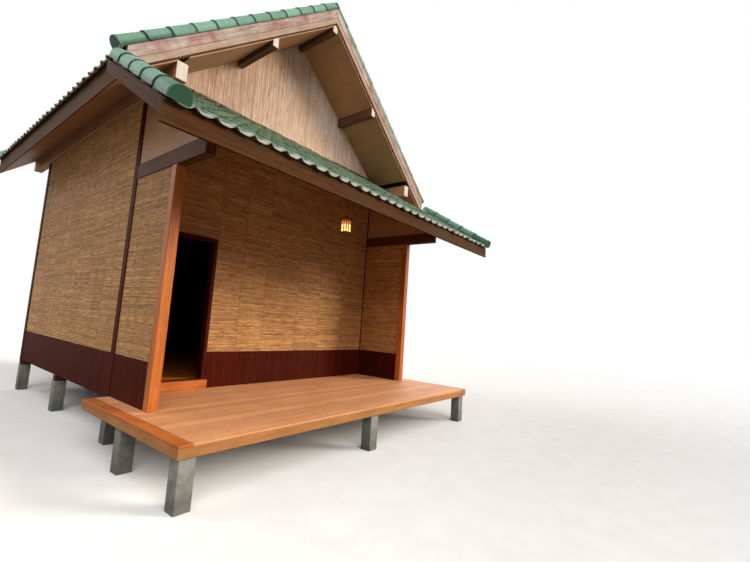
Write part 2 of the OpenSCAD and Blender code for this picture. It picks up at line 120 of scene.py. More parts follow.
ahead = Vector((math.sin(CAMERA_TURN) * math.cos(CAMERA_RISE),
                math.cos(CAMERA_TURN) * math.cos(CAMERA_RISE), math.sin(CAMERA_RISE)))
level_right = Vector((math.cos(CAMERA_TURN), -math.sin(CAMERA_TURN), 0.0))
level_up = level_right.cross(ahead)
right = math.cos(CAMERA_LEAN) * level_right + math.sin(CAMERA_LEAN) * level_up
up = math.cos(CAMERA_LEAN) * level_up - math.sin(CAMERA_LEAN) * level_right
place = Matrix.Translation((-CAMERA_LEFT, y_deck - CAMERA_BEFORE_DECK, deck_z + CAMERA_OVER_DECK))
camera.matrix_world = place @ Matrix((right, up, -ahead)).transposed().to_4x4()
print("camera at", camera.location[:])

# %% [markdown]
# A node tree is easier to read when every node is added the same way. One function adds a node,
# sets its properties by name and fills its inputs, either with values or with links. Most types
# of node begin with the word ShaderNode, so the function puts it in front of a name that has no
# other beginning. Colours are written as they would be in a paint program, and a second function
# turns them into the linear light that the renderer counts in. Two more make what most finishes
# share: patches of a second colour, such as stain or moss, and the shader at the end.

# %% Colours and nodes
OTHER_BEGINNINGS = ("GeometryNode", "FunctionNode", "NodeGroup")
WHITE = (1.0, 1.0, 1.0, 1.0)
# Varnish, glaze, cane and cement paste all bend light about as much as glass does
IOR = 1.5


def linear(colour):
    """The linear RGBA of an sRGB colour written as #rrggbb."""
    shares = [int(colour[i:i + 2], 16) / 255 for i in (1, 3, 5)]
    return tuple(s / 12.92 if s <= 0.04045 else ((s + 0.055) / 1.055) ** 2.4 for s in shares) + (1.0,)


def add_node(tree, kind, inputs=None, stops=None, **settings):
    """Adds a node. Inputs are values, sockets, or nodes whose first output is meant."""
    node = tree.nodes.new(kind if kind.startswith(OTHER_BEGINNINGS) else "ShaderNode" + kind)
    for name, value in settings.items():
        setattr(node, name, value)
    for socket, value in (inputs or {}).items():
        if isinstance(value, bpy.types.Node):
            value = value.outputs[0]
        if isinstance(value, bpy.types.NodeSocket):
            tree.links.new(value, node.inputs[socket])
        else:
            node.inputs[socket].default_value = value
    for i, (place, colour) in enumerate(stops or []):
        elements = node.color_ramp.elements
        element = elements[i] if i < 2 else elements.new(place)
        element.position = place
        element.color = linear(colour)
    return node


def start(name):
    """A new material, and the function that adds a node to its empty tree."""
    material = bpy.data.materials.new(name)
    material.use_nodes = True
    material.node_tree.nodes.clear()
    return material, partial(add_node, material.node_tree)


def patches(add, body, colour, noise, low, high, most):
    """A second colour over the first one, more and more of it between two heights of a noise."""
    share = add("MapRange", {"Value": noise, "From Min": low, "From Max": high, "To Max": most})
    return add("Mix", {0: share, 6: body, 7: linear(colour)}, data_type="RGBA").outputs[2]


def surface(add, body, rough, height, relief, strength, shine=0.5):
    """Ends a material with its shader. The relief is how high its fine bumps are, in metres."""
    bump = add("Bump", {"Height": height, "Distance": relief, "Strength": strength})
    shader = add("BsdfPrincipled", {"Base Color": body, "Roughness": rough, "Normal": bump, "IOR": IOR,
                                    "Specular IOR Level": shine})
    add("OutputMaterial", {"Surface": shader})


print("orange in linear light:", [round(c, 3) for c in linear("#c8702e")])

# %% [markdown]
# The house stands on a plain pale floor in a white studio. A broad soft lamp stands low in front
# and well to the right, so it reaches in under the porch roof, fades up the wall and leaves the
# porch's right corner dim. A second one stands higher and to the left, and lights the deck and
# the tiles, and two weak ones behind the house light its other sides. The world gives the rest.
# The eye and reflections see it white, while it lights the house at a plain level. The floor is
# pale to the eye, but throws back only as much light as grass or still water does, or the roof's
# undersides would look lit from below.

# %% Studio
AMBIENT = 0.35
FLOOR_RADIUS, FLOOR_CORNERS = 60.0, 96
FADE_NEAR, FADE_FAR = 9.0, 24.0
FLOOR_BOUNCE = "#8c8c84"

world = bpy.data.worlds.new("studio")
scene.world = world
world.use_nodes = True
world.node_tree.nodes.clear()
add = partial(add_node, world.node_tree)
rays = add("LightPath")
mirrored = add("Math", {0: rays.outputs["Is Glossy Ray"], 1: rays.outputs["Is Transmission Ray"]},
               operation="MAXIMUM")
seen = add("Math", {0: rays.outputs["Is Camera Ray"], 1: mirrored}, operation="MAXIMUM")
sky = add("Background", {"Color": linear("#f2f6ff"), "Strength": AMBIENT})
white = add("Background", {"Color": WHITE, "Strength": 1.0})
both = add("MixShader", {0: seen, 1: sky, 2: white})
add("OutputWorld", {"Surface": both})


def lamp(name, azimuth, elevation, strength, spread, colour):
    """A broad soft lamp far away. Azimuth 0 shines along +Y, 90 along -X."""
    light = bpy.data.lights.new(name, "SUN")
    light.energy = strength
    light.angle = math.radians(spread)
    light.color = linear(colour)[:3]
    lit = bpy.data.objects.new(name, light)
    scene.collection.objects.link(lit)
    a, e = math.radians(azimuth), math.radians(elevation)
    towards = Vector((-math.sin(a) * math.cos(e), math.cos(a) * math.cos(e), -math.sin(e)))
    lit.rotation_mode = "QUATERNION"
    lit.rotation_quaternion = towards.to_track_quat("-Z", "Y")
    return lit


lamp("low_front", 41.0, 19.5, 3.0, 24.0, "#fff4e2")
lamp("high_front", -28.0, 42.0, 1.75, 52.0, "#ffffff")
lamp("back_left", -145.0, 35.0, 1.0, 40.0, "#ffffff")
lamp("back_right", 125.0, 35.0, 1.0, 40.0, "#ffffff")


def studio_floor():
    """Pale painted floor that fades into the white backdrop far from the house."""
    material, add = start("pale_painted_floor")
    place = add("TexCoord").outputs["Object"]
    far = add("VectorMath", {0: place}, operation="LENGTH").outputs["Value"]
    fade = add("MapRange", {"Value": far, "From Min": FADE_NEAR, "From Max": FADE_FAR},
               interpolation_type="SMOOTHSTEP")
    eye = add("LightPath").outputs["Is Camera Ray"]
    share = add("Math", {0: fade, 1: eye}, operation="MULTIPLY")
    speckle = add("TexNoise", {"Vector": place, "Scale": 3.0, "Detail": 4.0})
    tint = add("ValToRGB", {0: speckle}, [(0.3, "#e4e3df"), (0.7, "#eae9e6")])
    tint = add("Mix", {0: eye, 6: linear(FLOOR_BOUNCE), 7: tint}, data_type="RGBA").outputs[2]
    paint = add("BsdfDiffuse", {"Color": tint, "Roughness": 0.8})
    glow = add("Emission", {"Color": WHITE, "Strength": 1.0})
    mix = add("MixShader", {0: share, 1: paint, 2: glow})
    add("OutputMaterial", {"Surface": mix})
    return material


bm = bmesh.new()
bmesh.ops.create_circle(bm, cap_ends=True, segments=FLOOR_CORNERS, radius=FLOOR_RADIUS)
floor_mesh = bpy.data.meshes.new("studio_floor")
bm.to_mesh(floor_mesh)
bm.free()
floor_mesh.materials.append(studio_floor())
studio = bpy.data.objects.new("studio_floor", floor_mesh)
scene.collection.objects.link(studio)
print("floor of radius", FLOOR_RADIUS, "m")

# %% [markdown]
# All the timber of the house is sawn hardwood, finished in different ways: oiled, varnished or
# left to weather. Its figure runs along each piece, so a pattern on world coordinates would cross
# half of them the wrong way. Instead, every timber carries an attribute called grain: how far a
# point lies along, across and through its own piece. A second one, tone, is a number from 0 to 1
# for each piece, which shifts the pattern and the shade so that no two boards are alike.

# %% Timber
# The streaks of the figure are about half a metre long. The fibres are 2 mm wide, which is coarser
# than real ones, so that they show
STREAK_LENGTH = 0.55
FIBRE, FIBRE_ENDS = 0.0022, 12.0
TONE_SHIFT = (7.3, 3.1, 5.7)
DECK_BOARD, ROOM_BOARD, GAP = 0.14, 0.12, 0.006
# How wide and how dark the painted shade along the deck boards' edges is, standing for the shadowed gaps
GAP_SHADE_WIDTH, JOINT_SHADE = 0.009, 0.45
deck_step = even_steps(y_wall - y_deck, DECK_BOARD)[1]


def own_place(add):
    """A piece's tone and grain, and the grain moved on by the tone, so that no two pieces match."""
    tone = add("Attribute", attribute_name="tone").outputs["Fac"]
    grain = add("Attribute", attribute_name="grain").outputs["Vector"]
    shift = add("VectorMath", {0: TONE_SHIFT, "Scale": tone}, operation="SCALE")
    return tone, grain, add("VectorMath", {0: grain, 1: shift}, operation="ADD")


def timber(name, stops, streak, rough, uneven, shine=0.15, stain=None, stain_share=0.0, relief=0.0012,
           joints=None):
    """Sawn hardwood. The stops are its colours from the dark to the light parts of its figure.

    Boards whose width is given as joints get painted shade along their edges, standing for the shadowed
    gaps between them."""
    material, add = start(name)
    tone, grain, place = own_place(add)
    long = add("Mapping", {"Vector": place, "Scale": (1 / STREAK_LENGTH, 1 / streak, 1 / streak)})
    figure = add("TexNoise", {"Vector": long, "Scale": 1.0, "Detail": 5.0, "Roughness": 0.6,
                              "Distortion": 0.8})
    fine = add("Mapping", {"Vector": place, "Scale": (FIBRE_ENDS, 1 / FIBRE, 1 / FIBRE)})
    fibres = add("TexNoise", {"Vector": fine, "Scale": 1.0, "Detail": 2.0})
    colour = add("ValToRGB", {0: figure}, stops)
    shade = add("MapRange", {"Value": tone, "To Min": 1.0 - uneven, "To Max": 1.0 + uneven / 2})
    # Painted shade along the board edges, standing for the shadowed gaps between the boards
    if joints:
        across = add("SeparateXYZ", {0: grain}).outputs["Y"]
        inward = add("Math", {0: across, 1: joints / 2}, operation="PINGPONG")
        edge_shade = add("MapRange", {"Value": inward, "From Max": GAP_SHADE_WIDTH, "To Min": JOINT_SHADE})
        shade = add("Math", {0: shade, 1: edge_shade}, operation="MULTIPLY")
    body = add("HueSaturation", {"Value": shade, "Color": colour})
    if stain:
        space = add("TexCoord").outputs["Object"]
        noise = add("TexNoise", {"Vector": space, "Scale": 2.6, "Detail": 6.0, "Roughness": 0.7})
        body = patches(add, body, stain, noise, 0.42, 0.68, stain_share)
    gloss = add("MapRange", {"Value": fibres, "To Min": rough - 0.1, "To Max": rough + 0.12})
    height = add("Math", {0: figure, 1: fibres}, operation="ADD")
    surface(add, body, gloss, height, relief, 0.7, shine)
    return material


# Decking hardwood with a salmon oil: even, matt, with faint darker streaks, and painted shade along the
# board edges
oiled_decking = timber("oiled_decking", [(0.25, "#cc8859"), (0.75, "#e6ab7a")], 0.03, 0.55, 0.16,
                       stain="#b5683f", stain_share=0.3, joints=deck_step - GAP)
# The deck's outer boards: the same oil, browner and green with algae in places
stained_decking = timber("stained_decking", [(0.25, "#ad6c3d"), (0.75, "#cd9058")], 0.03, 0.6, 0.2,
                         stain="#7a6134", stain_share=0.45)
# Hardwood under an orange varnish: clear gloss over a warm, wavy figure
varnished_orange = timber("varnished_orange_wood", [(0.25, "#a04c18"), (0.7, "#d67f3b")], 0.02, 0.38, 0.14,
                          shine=0.2, stain="#8a3c12", stain_share=0.4)
# Dark red-brown varnish on the wainscot boards and the door frame
varnished_red = timber("varnished_red_wood", [(0.3, "#330b03"), (0.7, "#551a06")], 0.018, 0.5, 0.18,
                       shine=0.04)
# Brown oiled beams, purlins and boards up under the roof
oiled_brown = timber("oiled_brown_wood", [(0.3, "#492a16"), (0.7, "#704529")], 0.02, 0.6, 0.2,
                     stain="#332014", stain_share=0.4)
# The purlins that run out past the gables: the same oil, greyed by the weather
greyed_brown = timber("greyed_brown_wood", [(0.3, "#523c2f"), (0.7, "#7e5d49")], 0.02, 0.65, 0.15,
                      stain="#5a3626", stain_share=0.4)
# Cross-cut ends, pale, almost white
pale_ends = timber("pale_end_grain", [(0.3, "#b9a898"), (0.7, "#efe4da")], 0.006, 0.8, 0.1)
# Fascias and verge boards of the porch roof: brown stain gone dull, and mossy in places
weathered_brown = timber("weathered_brown_wood", [(0.3, "#341a09"), (0.7, "#603714")], 0.022, 0.7, 0.25,
                         shine=0.08, stain="#3d3a1c", stain_share=0.5)
print("eight finishes of timber")

# %% [markdown]
# Bamboo is split into strips and tied into mats. The strips of one mat come from a few stalks,
# so their shades differ only a little, while each one has short darker dashes along it and rings
# where the stalk had its joints. The mats inside the porch are honey coloured and the gables are
# paler, with the strips upright. The walls behind the strips show only as thin lines between
# them, and are seen from inside the room.

# %% Bamboo
RING_GAP, RING_SHARE, RING_FAINT = 0.31, 0.03, 0.55
DASHES = (5.0, 160.0, 160.0)
TONE_SHARE, DASH_SHARE, LINE_SHARE = 0.2, 0.9, 1.3


def split_bamboo(name, stops, rough, ring, patch, lines):
    """Strips of split bamboo. The stops are their shades from the dark dashes to the lightest.

    Lines are how often a darker line begins in a metre along X, Y and Z."""
    material, add = start(name)
    tone, grain, place = own_place(add)
    long = add("Mapping", {"Vector": place, "Scale": DASHES})
    streaks = add("TexNoise", {"Vector": long, "Scale": 1.0, "Detail": 4.0})
    base = add("Math", {0: tone, 1: TONE_SHARE, 2: 0.5 - TONE_SHARE / 2}, operation="MULTIPLY_ADD")
    dashes = add("Math", {0: streaks, 1: 0.5}, operation="SUBTRACT")
    pick = add("Math", {0: dashes, 1: DASH_SHARE, 2: base}, operation="MULTIPLY_ADD")
    space = add("TexCoord").outputs["Object"]
    drawn = add("Mapping", {"Vector": space, "Scale": lines})
    drawn = add("TexNoise", {"Vector": drawn, "Scale": 1.0, "Detail": 3.0, "Distortion": 0.6})
    drawn = add("Math", {0: drawn, 1: 0.5}, operation="SUBTRACT")
    pick = add("Math", {0: drawn, 1: LINE_SHARE, 2: pick}, operation="MULTIPLY_ADD")
    shade = add("ValToRGB", {0: pick}, stops)
    along = add("SeparateXYZ", {0: place}).outputs["X"]
    turn = add("Math", {0: along, 1: 1 / RING_GAP}, operation="MULTIPLY")
    turn = add("Math", {0: turn}, operation="FRACT")
    on_ring = add("Math", {0: turn, 1: RING_SHARE}, operation="LESS_THAN")
    faint = add("Math", {0: on_ring, 1: RING_FAINT}, operation="MULTIPLY")
    ringed = add("Mix", {0: faint, 6: shade, 7: linear(ring)}, data_type="RGBA").outputs[2]
    clouds = add("TexNoise", {"Vector": space, "Scale": 1.7, "Detail": 5.0, "Roughness": 0.65})
    aged = patches(add, ringed, patch, clouds, 0.4, 0.7, 0.5)
    surface(add, aged, rough, streaks, 0.0008, 0.6, 0.2)
    return material


def streaked(name, scale, detail, stops, rough, relief, strength):
    """Plain streaks through the whole house, as many in a metre along X, Y and Z as the scale says."""
    material, add = start(name)
    space = add("TexCoord").outputs["Object"]
    long = add("Mapping", {"Vector": space, "Scale": scale})
    streaks = add("TexNoise", {"Vector": long, "Scale": 1.0, "Detail": detail})
    colour = add("ValToRGB", {0: streaks}, stops)
    surface(add, colour, rough, streaks, relief, strength)
    return material


# Varnished honey mats round the porch and the room
honey_bamboo = split_bamboo("honey_split_bamboo",
                            [(0.15, "#8a5a2e"), (0.35, "#c08a50"), (0.55, "#d8a366"), (0.9, "#e8be88")],
                            0.55, "#8a5c34", "#b57a42", (6.0, 6.0, 42.0))
# Pale bare strips on the gables
pale_bamboo = split_bamboo("pale_split_bamboo",
                           [(0.12, "#ad846c"), (0.32, "#dfbaa2"), (0.6, "#efd2be"), (0.9, "#f7e3d4")],
                           0.7, "#c09a7c", "#c59869", (42.0, 42.0, 4.0))
# The back of the bamboo mats: brown, with level lines a strip's width apart
bamboo_backing = streaked("bamboo_mat_backing", (1.5, 1.5, 70.0), 3.0,
                          [(0.35, "#2c1a0c"), (0.7, "#4e331a")], 0.75, 0.003, 0.8)
# Twisted palm-fibre string, a little darker than the strips it ties
mat_string = timber("palm_fibre_string", [(0.3, "#a3733f"), (0.7, "#c99a63")], 0.004, 0.85, 0.15)
print("honey and pale bamboo, the backs of the mats and their strings")

# %% [markdown]
# The roof tiles are clay pantiles with a green glaze that has gone dull, grey and mossy. Their
# lower ends are worn pale in the troughs, and along the eaves, where water drips off, they are
# almost white with lime. The half-round tiles on the ridge and verges are newer and lighter, a
# mint green with painted shade at the joints, and the lowest ones of the porch's verges are
# painted darker, as if in shade. Those at the foot of the right front verge have lost their glaze.
# The tiles carry two attributes of their own: the first is 1 at the lower end of a tile, where it
# makes a pantile pale with wear and a cap tile dark with painted shade, and row counts the courses
# up from the eave.

# %% Glazed tiles
def glazed_tile(name, stops, wear_and_shade_colour, wear_and_shade_share, eave_lime_and_shade, moss, moss_share, rough, uneven=0.25,
                shine=0.2):
    """Green glazed clay, uneven from tile to tile, with pale worn ends on pantiles, painted shade at the
    ends of cap tiles, and moss.
    """
    material, add = start(name)
    tone = add("Attribute", attribute_name="tone").outputs["Fac"]
    worn = add("Attribute", attribute_name="worn").outputs["Fac"]
    row = add("Attribute", attribute_name="row").outputs["Fac"]
    space = add("TexCoord").outputs["Object"]
    fine = add("TexNoise", {"Vector": space, "Scale": 42.0, "Detail": 6.0, "Roughness": 0.7})
    broad = add("TexNoise", {"Vector": space, "Scale": 3.5, "Detail": 5.0, "Roughness": 0.6})
    pick = add("Math", {0: tone, 1: uneven, 2: fine}, operation="MULTIPLY_ADD")
    pick = add("Math", {0: pick, 1: uneven / 2}, operation="SUBTRACT")
    glaze = add("ValToRGB", {0: pick}, stops)
    blotch = add("MapRange", {"Value": fine, "From Min": 0.35, "From Max": 0.6, "To Min": 0.5})
    # The pale wear of a pantile and the painted shade of a cap tile reach further up a tile of the eave's
    # own row than up the others
    first = add("Math", {0: row, 1: 0.5}, operation="LESS_THAN")
    narrow = add("Math", {0: first, 1: -1.0, 2: 2.0}, operation="MULTIPLY_ADD")
    worn = add("Math", {0: worn, 1: narrow}, operation="POWER")
    ends = add("Math", {0: worn, 1: blotch}, operation="MULTIPLY")
    ends = add("Math", {0: ends, 1: wear_and_shade_share}, operation="MULTIPLY")
    coloured_ends = add("Mix", {0: ends, 6: glaze, 7: linear(wear_and_shade_colour)}, data_type="RGBA").outputs[2]
    eave_row_ends = add("Math", {0: first, 1: ends}, operation="MULTIPLY")
    eave_row_coloured = add("Mix", {0: eave_row_ends, 6: coloured_ends, 7: linear(eave_lime_and_shade)}, data_type="RGBA").outputs[2]
    mossy = patches(add, eave_row_coloured, moss, broad, 0.5, 0.68, moss_share)
    gloss = add("MapRange", {"Value": fine, "To Min": rough - 0.1, "To Max": rough + 0.2})
    surface(add, mossy, gloss, fine, 0.0015, 0.5, shine)
    return material


# Old pantiles: blue-green glaze, greyed
green_pantile = glazed_tile("weathered_green_glaze",
                            [(0.15, "#233b2b"), (0.45, "#48664f"), (0.85, "#87997f")],
                            "#bdc2b0", 0.95, "#d3d8cd", "#5c5236", 0.6, 0.6, 0.3, 0.1)
# Ridge and verge tiles: mint glaze, little moss, and painted shade where one tile laps the next
mint_cap = glazed_tile("mint_glazed_cap",
                       [(0.2, "#547d6a"), (0.5, "#749b87"), (0.9, "#9ab8a8")],
                       "#16261e", 0.9, "#16261e", "#5a7a5a", 0.3, 0.5)
# The lowest tiles of the porch's verge rows: the same glaze, painted darker as if in shade
shaded_cap = glazed_tile("shaded_green_glaze", [(0.2, "#33604a"), (0.5, "#427159"), (0.9, "#547f68")],
                       "#16261e", 0.5, "#16261e", "#34503a", 0.3, 0.45)
# The lowest tiles of the right verge have lost their glaze and are grey-brown clay, with painted shade at
# their laps
bare_cap = glazed_tile("bare_weathered_clay", [(0.2, "#6b6250"), (0.5, "#857a66"), (0.9, "#a09682")],
                       "#2c2820", 0.8, "#2c2820", "#4f5238", 0.5, 0.7, shine=0.1)
print("pantiles and cap tiles")

# %% [markdown]
# The other finishes: cast concrete for the piers, mossy mortar where the porch roof meets the
# gable, weathered paint on the bargeboards, and smooth brown panels on the soffits. The panels
# are thin boards with a satin stain, so their figure is broad and faint.

# %% Concrete, paint and panels
def cast_concrete(name, stops):
    """Cement: blotches, darker towards the bottom, small air holes."""
    material, add = start(name)
    space = add("TexCoord").outputs["Object"]
    broad = add("TexNoise", {"Vector": space, "Scale": 9.0, "Detail": 8.0, "Roughness": 0.7})
    holes = add("TexVoronoi", {"Vector": space, "Scale": 70.0})
    grey = add("ValToRGB", {0: broad}, stops)
    height = add("SeparateXYZ", {0: space}).outputs["Z"]
    lower_darkening = add("MapRange", {"Value": height, "From Min": 0.05, "From Max": 0.4, "To Min": 0.55,
                            "To Max": 0.0})
    darkened_grey = add("Mix", {0: lower_darkening, 6: grey, 7: linear("#3c3f36")}, data_type="RGBA").outputs[2]
    pits = add("MapRange", {"Value": holes, "From Max": 0.25})
    surface(add, darkened_grey, 0.85, pits, 0.002, 0.5)
    return material


# Grey cast concrete piers
concrete = cast_concrete("cast_concrete", [(0.3, "#6d6c67"), (0.7, "#a19e96")])
# Old mortar overgrown with moss, along the joint of the porch roof and the gable
mossy_mortar = cast_concrete("mossy_mortar", [(0.35, "#4a442a"), (0.65, "#7d7552")])
# Upper bargeboards: old dusky pink paint over red primer, worn through in patches
pink_paint = timber("weathered_pink_paint", [(0.3, "#8e776b"), (0.7, "#cfc0b8")], 0.05, 0.7, 0.1,
                    stain="#87433a", stain_share=0.85)
# Lower bargeboards: the same paint, less worn and browner
beige_paint = timber("weathered_beige_paint", [(0.3, "#9c8370"), (0.7, "#c4ac9a")], 0.04, 0.7, 0.1,
                     stain="#8f604c", stain_share=0.5)
# Soffits, the panels over the porch sides and the wall plates: satin brown stain on smooth board
satin_panel = timber("satin_brown_panel", [(0.2, "#ac7f5c"), (0.8, "#bf9069")], 0.12, 0.5, 0.05,
                     stain="#96694a", stain_share=0.3, relief=0.0002)
print("concrete, mortar, two paints and panels")

# %% [markdown]
# Most timbers already have the right shape in the frame, but with knife-sharp edges and split into
# loose triangles. A copy is merged, its flat faces are joined, its edges are rounded, and each face
# is told which way its grain runs: along its longest edge, which on a board or a post is always the
# length of the timber. The copy then stands for the node.

# %% Dress the timbers
def separate_parts(bm):
    """The separate solids of a mesh, each as a list of faces."""
    bm.faces.index_update()
    done = set()
    for first in bm.faces:
        if first.index in done:
            continue
        done.add(first.index)
        part = [first]
        for face in part:
            for edge in face.edges:
                for other in edge.link_faces:
                    if other.index not in done:
                        done.add(other.index)
                        part.append(other)
        yield part


def lay_grain(bm):
    """Stores how far each face corner lies along, across and through its timber."""
    grain = bm.loops.layers.float_vector.new("grain")
    for face in bm.faces:
        longest = max(face.edges, key=lambda edge: edge.calc_length())
        along = (longest.verts[1].co - longest.verts[0].co).normalized()
        if max(along, key=abs) < 0:
            along = -along
        across = face.normal.cross(along)
        for corner in face.loops:
            place = corner.vert.co
            corner[grain] = (place.dot(along), place.dot(across), place.dot(face.normal))


def lay_tone(bm, seed):
    """Stores one random number for each separate timber."""
    draw = random.Random(seed)
    tone = bm.loops.layers.float.new("tone")
    for part in list(separate_parts(bm)):
        value = draw.random()
        for face in part:
            for corner in face.loops:
                corner[tone] = value


def round_edges(bm, radius, segments=2):
    """Rounds every sharp edge by a small radius."""
    bm.normal_update()
    sharp = [e for e in bm.edges if e.is_manifold and e.calc_face_angle() > 0.3]
    bmesh.ops.bevel(bm, geom=sharp, offset=radius, segments=segments, profile=0.5, affect="EDGES",
                    clamp_overlap=True)
    bm.normal_update()


def new_piece(name, mesh, stands_for=()):
    """An object for a finished mesh, which rides with the house and stands for some nodes."""
    made = bpy.data.objects.new(name, mesh)
    scene.collection.objects.link(made)
    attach(made, "root")
    if stands_for:
        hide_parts(*stands_for)
    return made


def to_mesh(bm, name, *materials):
    """Ends the work on a mesh and gives it its materials."""
    mesh = bpy.data.meshes.new(name)
    bm.to_mesh(mesh)
    bm.free()
    for material in materials:
        mesh.materials.append(material)
    return mesh


def dress(name, piece_name, material, radius=0.004, ends=None):
    """A rounded copy of a node. What faces along Y gets the material for ends, if there is one."""
    bm = bmesh.new()
    bm.from_mesh(nodes[name].data)
    for layer in list(bm.loops.layers.uv):
        bm.loops.layers.uv.remove(layer)
    bmesh.ops.remove_doubles(bm, verts=bm.verts, dist=1e-5)
    bmesh.ops.dissolve_limit(bm, angle_limit=0.01, verts=bm.verts, edges=bm.edges)
    round_edges(bm, radius)
    lay_grain(bm)
    lay_tone(bm, len(name))
    for face in bm.faces:
        face.material_index = 1 if ends and abs(face.normal.y) > 0.9 else 0
    materials = [material, ends] if ends else [material]
    return new_piece(piece_name, to_mesh(bm, piece_name, *materials), [name])


dress("piers", "concrete_piers", concrete, 0.008)
dress("bearers", "deck_bearers", oiled_brown)
dress("deck_joists", "oiled_deck_joists", oiled_brown)
dress("room_joists", "oiled_room_joists", oiled_brown)
dress("deck_rim", "deck_rim_boards", stained_decking)
dress("deck_borders", "deck_border_boards", varnished_orange)
dress("door_step", "varnished_door_step", varnished_orange, 0.006)
dress("door_frame", "varnished_door_frame", varnished_red)
dress("porch_posts", "varnished_porch_posts", varnished_orange, 0.008)
dress("room_posts", "varnished_room_posts", varnished_red, 0.006)
for name in ("side_beams", "cross_plates", "lean_ledger", "eave_purlin", "rafters", "lean_rafters",
             "roof_boards"):
    dress(name, "oiled_" + name, oiled_brown)
for name in ("ridge_purlin", "mid_purlins"):
    dress(name, "oiled_" + name, greyed_brown, 0.006, pale_ends)
dress("wall_plates", "satin_wall_plates", satin_panel, 0.006, pale_ends)
for name in ("soffits", "lean_soffit", "side_infills"):
    dress(name, "satin_" + name, satin_panel, 0.002)
dress("eave_fascias", "weathered_eave_fascias", weathered_brown)
dress("lean_trim", "weathered_porch_fascia", weathered_brown)
print("timbers dressed")

# %% [markdown]
# Boards, strips and tiles repeat hundreds of times. One Geometry Nodes tree lays them all: it
# takes the object's own mesh as the pattern, makes a grid of points by counting across and up, and
# puts a copy on each. Small random shifts, turns and changes of size keep the rows from looking
# stamped, and a slow noise bends the finished rows a little. Each copy also stores its tone and
# its row. The copies are made real at the end, because a mesh that leaves Blender holds no
# instances.

# %% The laying tree
ZERO = (0, 0, 0)
LAY_INPUTS = [("Across", "Int", 1), ("Up", "Int", 1), ("Start", "Vector", ZERO),
              ("Step Across", "Vector", ZERO), ("Step Up", "Vector", ZERO), ("Shift", "Vector", ZERO),
              ("Turn", "Vector", ZERO), ("Slim", "Vector", ZERO), ("Bend", "Vector", ZERO),
              ("Bend Scale", "Float", 1.0), ("Seed", "Int", 1), ("Material", "Material", None)]


def laying_tree():
    """The tree that repeats a pattern mesh across and up."""
    tree = bpy.data.node_groups.new("lay_copies", "GeometryNodeTree")
    tree.is_modifier = True
    for name, kind, _ in [("Geometry", "Geometry", None)] + LAY_INPUTS:
        tree.interface.new_socket(name, in_out="INPUT", socket_type="NodeSocket" + kind)
    tree.interface.new_socket("Geometry", in_out="OUTPUT", socket_type="NodeSocketGeometry")
    add = partial(add_node, tree)
    given = add("NodeGroupInput").outputs

    def draw(later, kind, *limits):
        """A random number or vector for each copy, from a seed of its own."""
        seed = add("Math", {0: given["Seed"], 1: later}, operation="ADD")
        return add("FunctionNodeRandomValue", {**dict(enumerate(limits)), "Seed": seed}, data_type=kind)

    index = add("GeometryNodeInputIndex")
    column = add("Math", {0: index, 1: given["Across"]}, operation="MODULO")
    share = add("Math", {0: index, 1: given["Across"]}, operation="DIVIDE")
    row = add("Math", {0: share}, operation="FLOOR")
    count = add("Math", {0: given["Across"], 1: given["Up"]}, operation="MULTIPLY")
    sideways = add("VectorMath", {0: given["Step Across"], "Scale": column}, operation="SCALE")
    upwards = add("VectorMath", {0: given["Step Up"], "Scale": row}, operation="SCALE")
    place = add("VectorMath", {0: sideways, 1: upwards}, operation="ADD")
    place = add("VectorMath", {0: place, 1: given["Start"]}, operation="ADD")
    less = add("VectorMath", {0: given["Shift"], "Scale": -1.0}, operation="SCALE")
    shift = draw(0.0, "FLOAT_VECTOR", less, given["Shift"])
    place = add("VectorMath", {0: place, 1: shift}, operation="ADD")
    points = add("GeometryNodePoints", {"Count": count, "Position": place})
    other_way = add("VectorMath", {0: given["Turn"], "Scale": -1.0}, operation="SCALE")
    turn = draw(1.0, "FLOAT_VECTOR", other_way, given["Turn"])
    smallest = add("VectorMath", {0: (1.0, 1.0, 1.0), 1: given["Slim"]}, operation="SUBTRACT")
    size = draw(2.0, "FLOAT_VECTOR", smallest, (1.0, 1.0, 1.0))
    copies = add("GeometryNodeInstanceOnPoints", {"Points": points, "Instance": given["Geometry"],
                                                  "Rotation": turn, "Scale": size})
    tone = draw(3.0, "FLOAT").outputs[1]
    for name, value in (("tone", tone), ("row", row)):
        copies = add("GeometryNodeStoreNamedAttribute", {"Geometry": copies, "Name": name, "Value": value},
                     data_type="FLOAT", domain="INSTANCE")
    real = add("GeometryNodeRealizeInstances", {"Geometry": copies})
    where = add("GeometryNodeInputPosition")
    noise = add("TexNoise", {"Vector": where, "Scale": given["Bend Scale"], "Detail": 1.0})
    centred = add("VectorMath", {0: noise.outputs[1], 1: (0.5, 0.5, 0.5)}, operation="SUBTRACT")
    offset = add("VectorMath", {0: centred, 1: given["Bend"]}, operation="MULTIPLY")
    bent = add("GeometryNodeSetPosition", {"Geometry": real, "Offset": offset})
    finished = add("GeometryNodeSetMaterial", {"Geometry": bent, "Material": given["Material"]})
    add("NodeGroupOutput", {"Geometry": finished})
    return tree


lay_copies = laying_tree()
sockets = {item.name: item.identifier for item in lay_copies.interface.items_tree if item.in_out == "INPUT"}


def lay(pattern, material, **settings):
    """Lays copies of a pattern mesh, and gives back one plain mesh of them all.

    The settings are the tree's inputs, such as step_up for Step Up. Those left out are as usual."""
    carrier = bpy.data.objects.new("carrier", pattern)
    scene.collection.objects.link(carrier)
    modifier = carrier.modifiers.new("lay", "NODES")
    modifier.node_group = lay_copies
    settings["material"] = material
    for name, _, usual in LAY_INPUTS:
        modifier[sockets[name]] = settings.get(name.lower().replace(" ", "_"), usual)
    depsgraph = bpy.context.evaluated_depsgraph_get()
    mesh = bpy.data.meshes.new_from_object(carrier.evaluated_get(depsgraph))
    carrier.modifiers.remove(modifier)
    bpy.data.objects.remove(carrier)
    return mesh


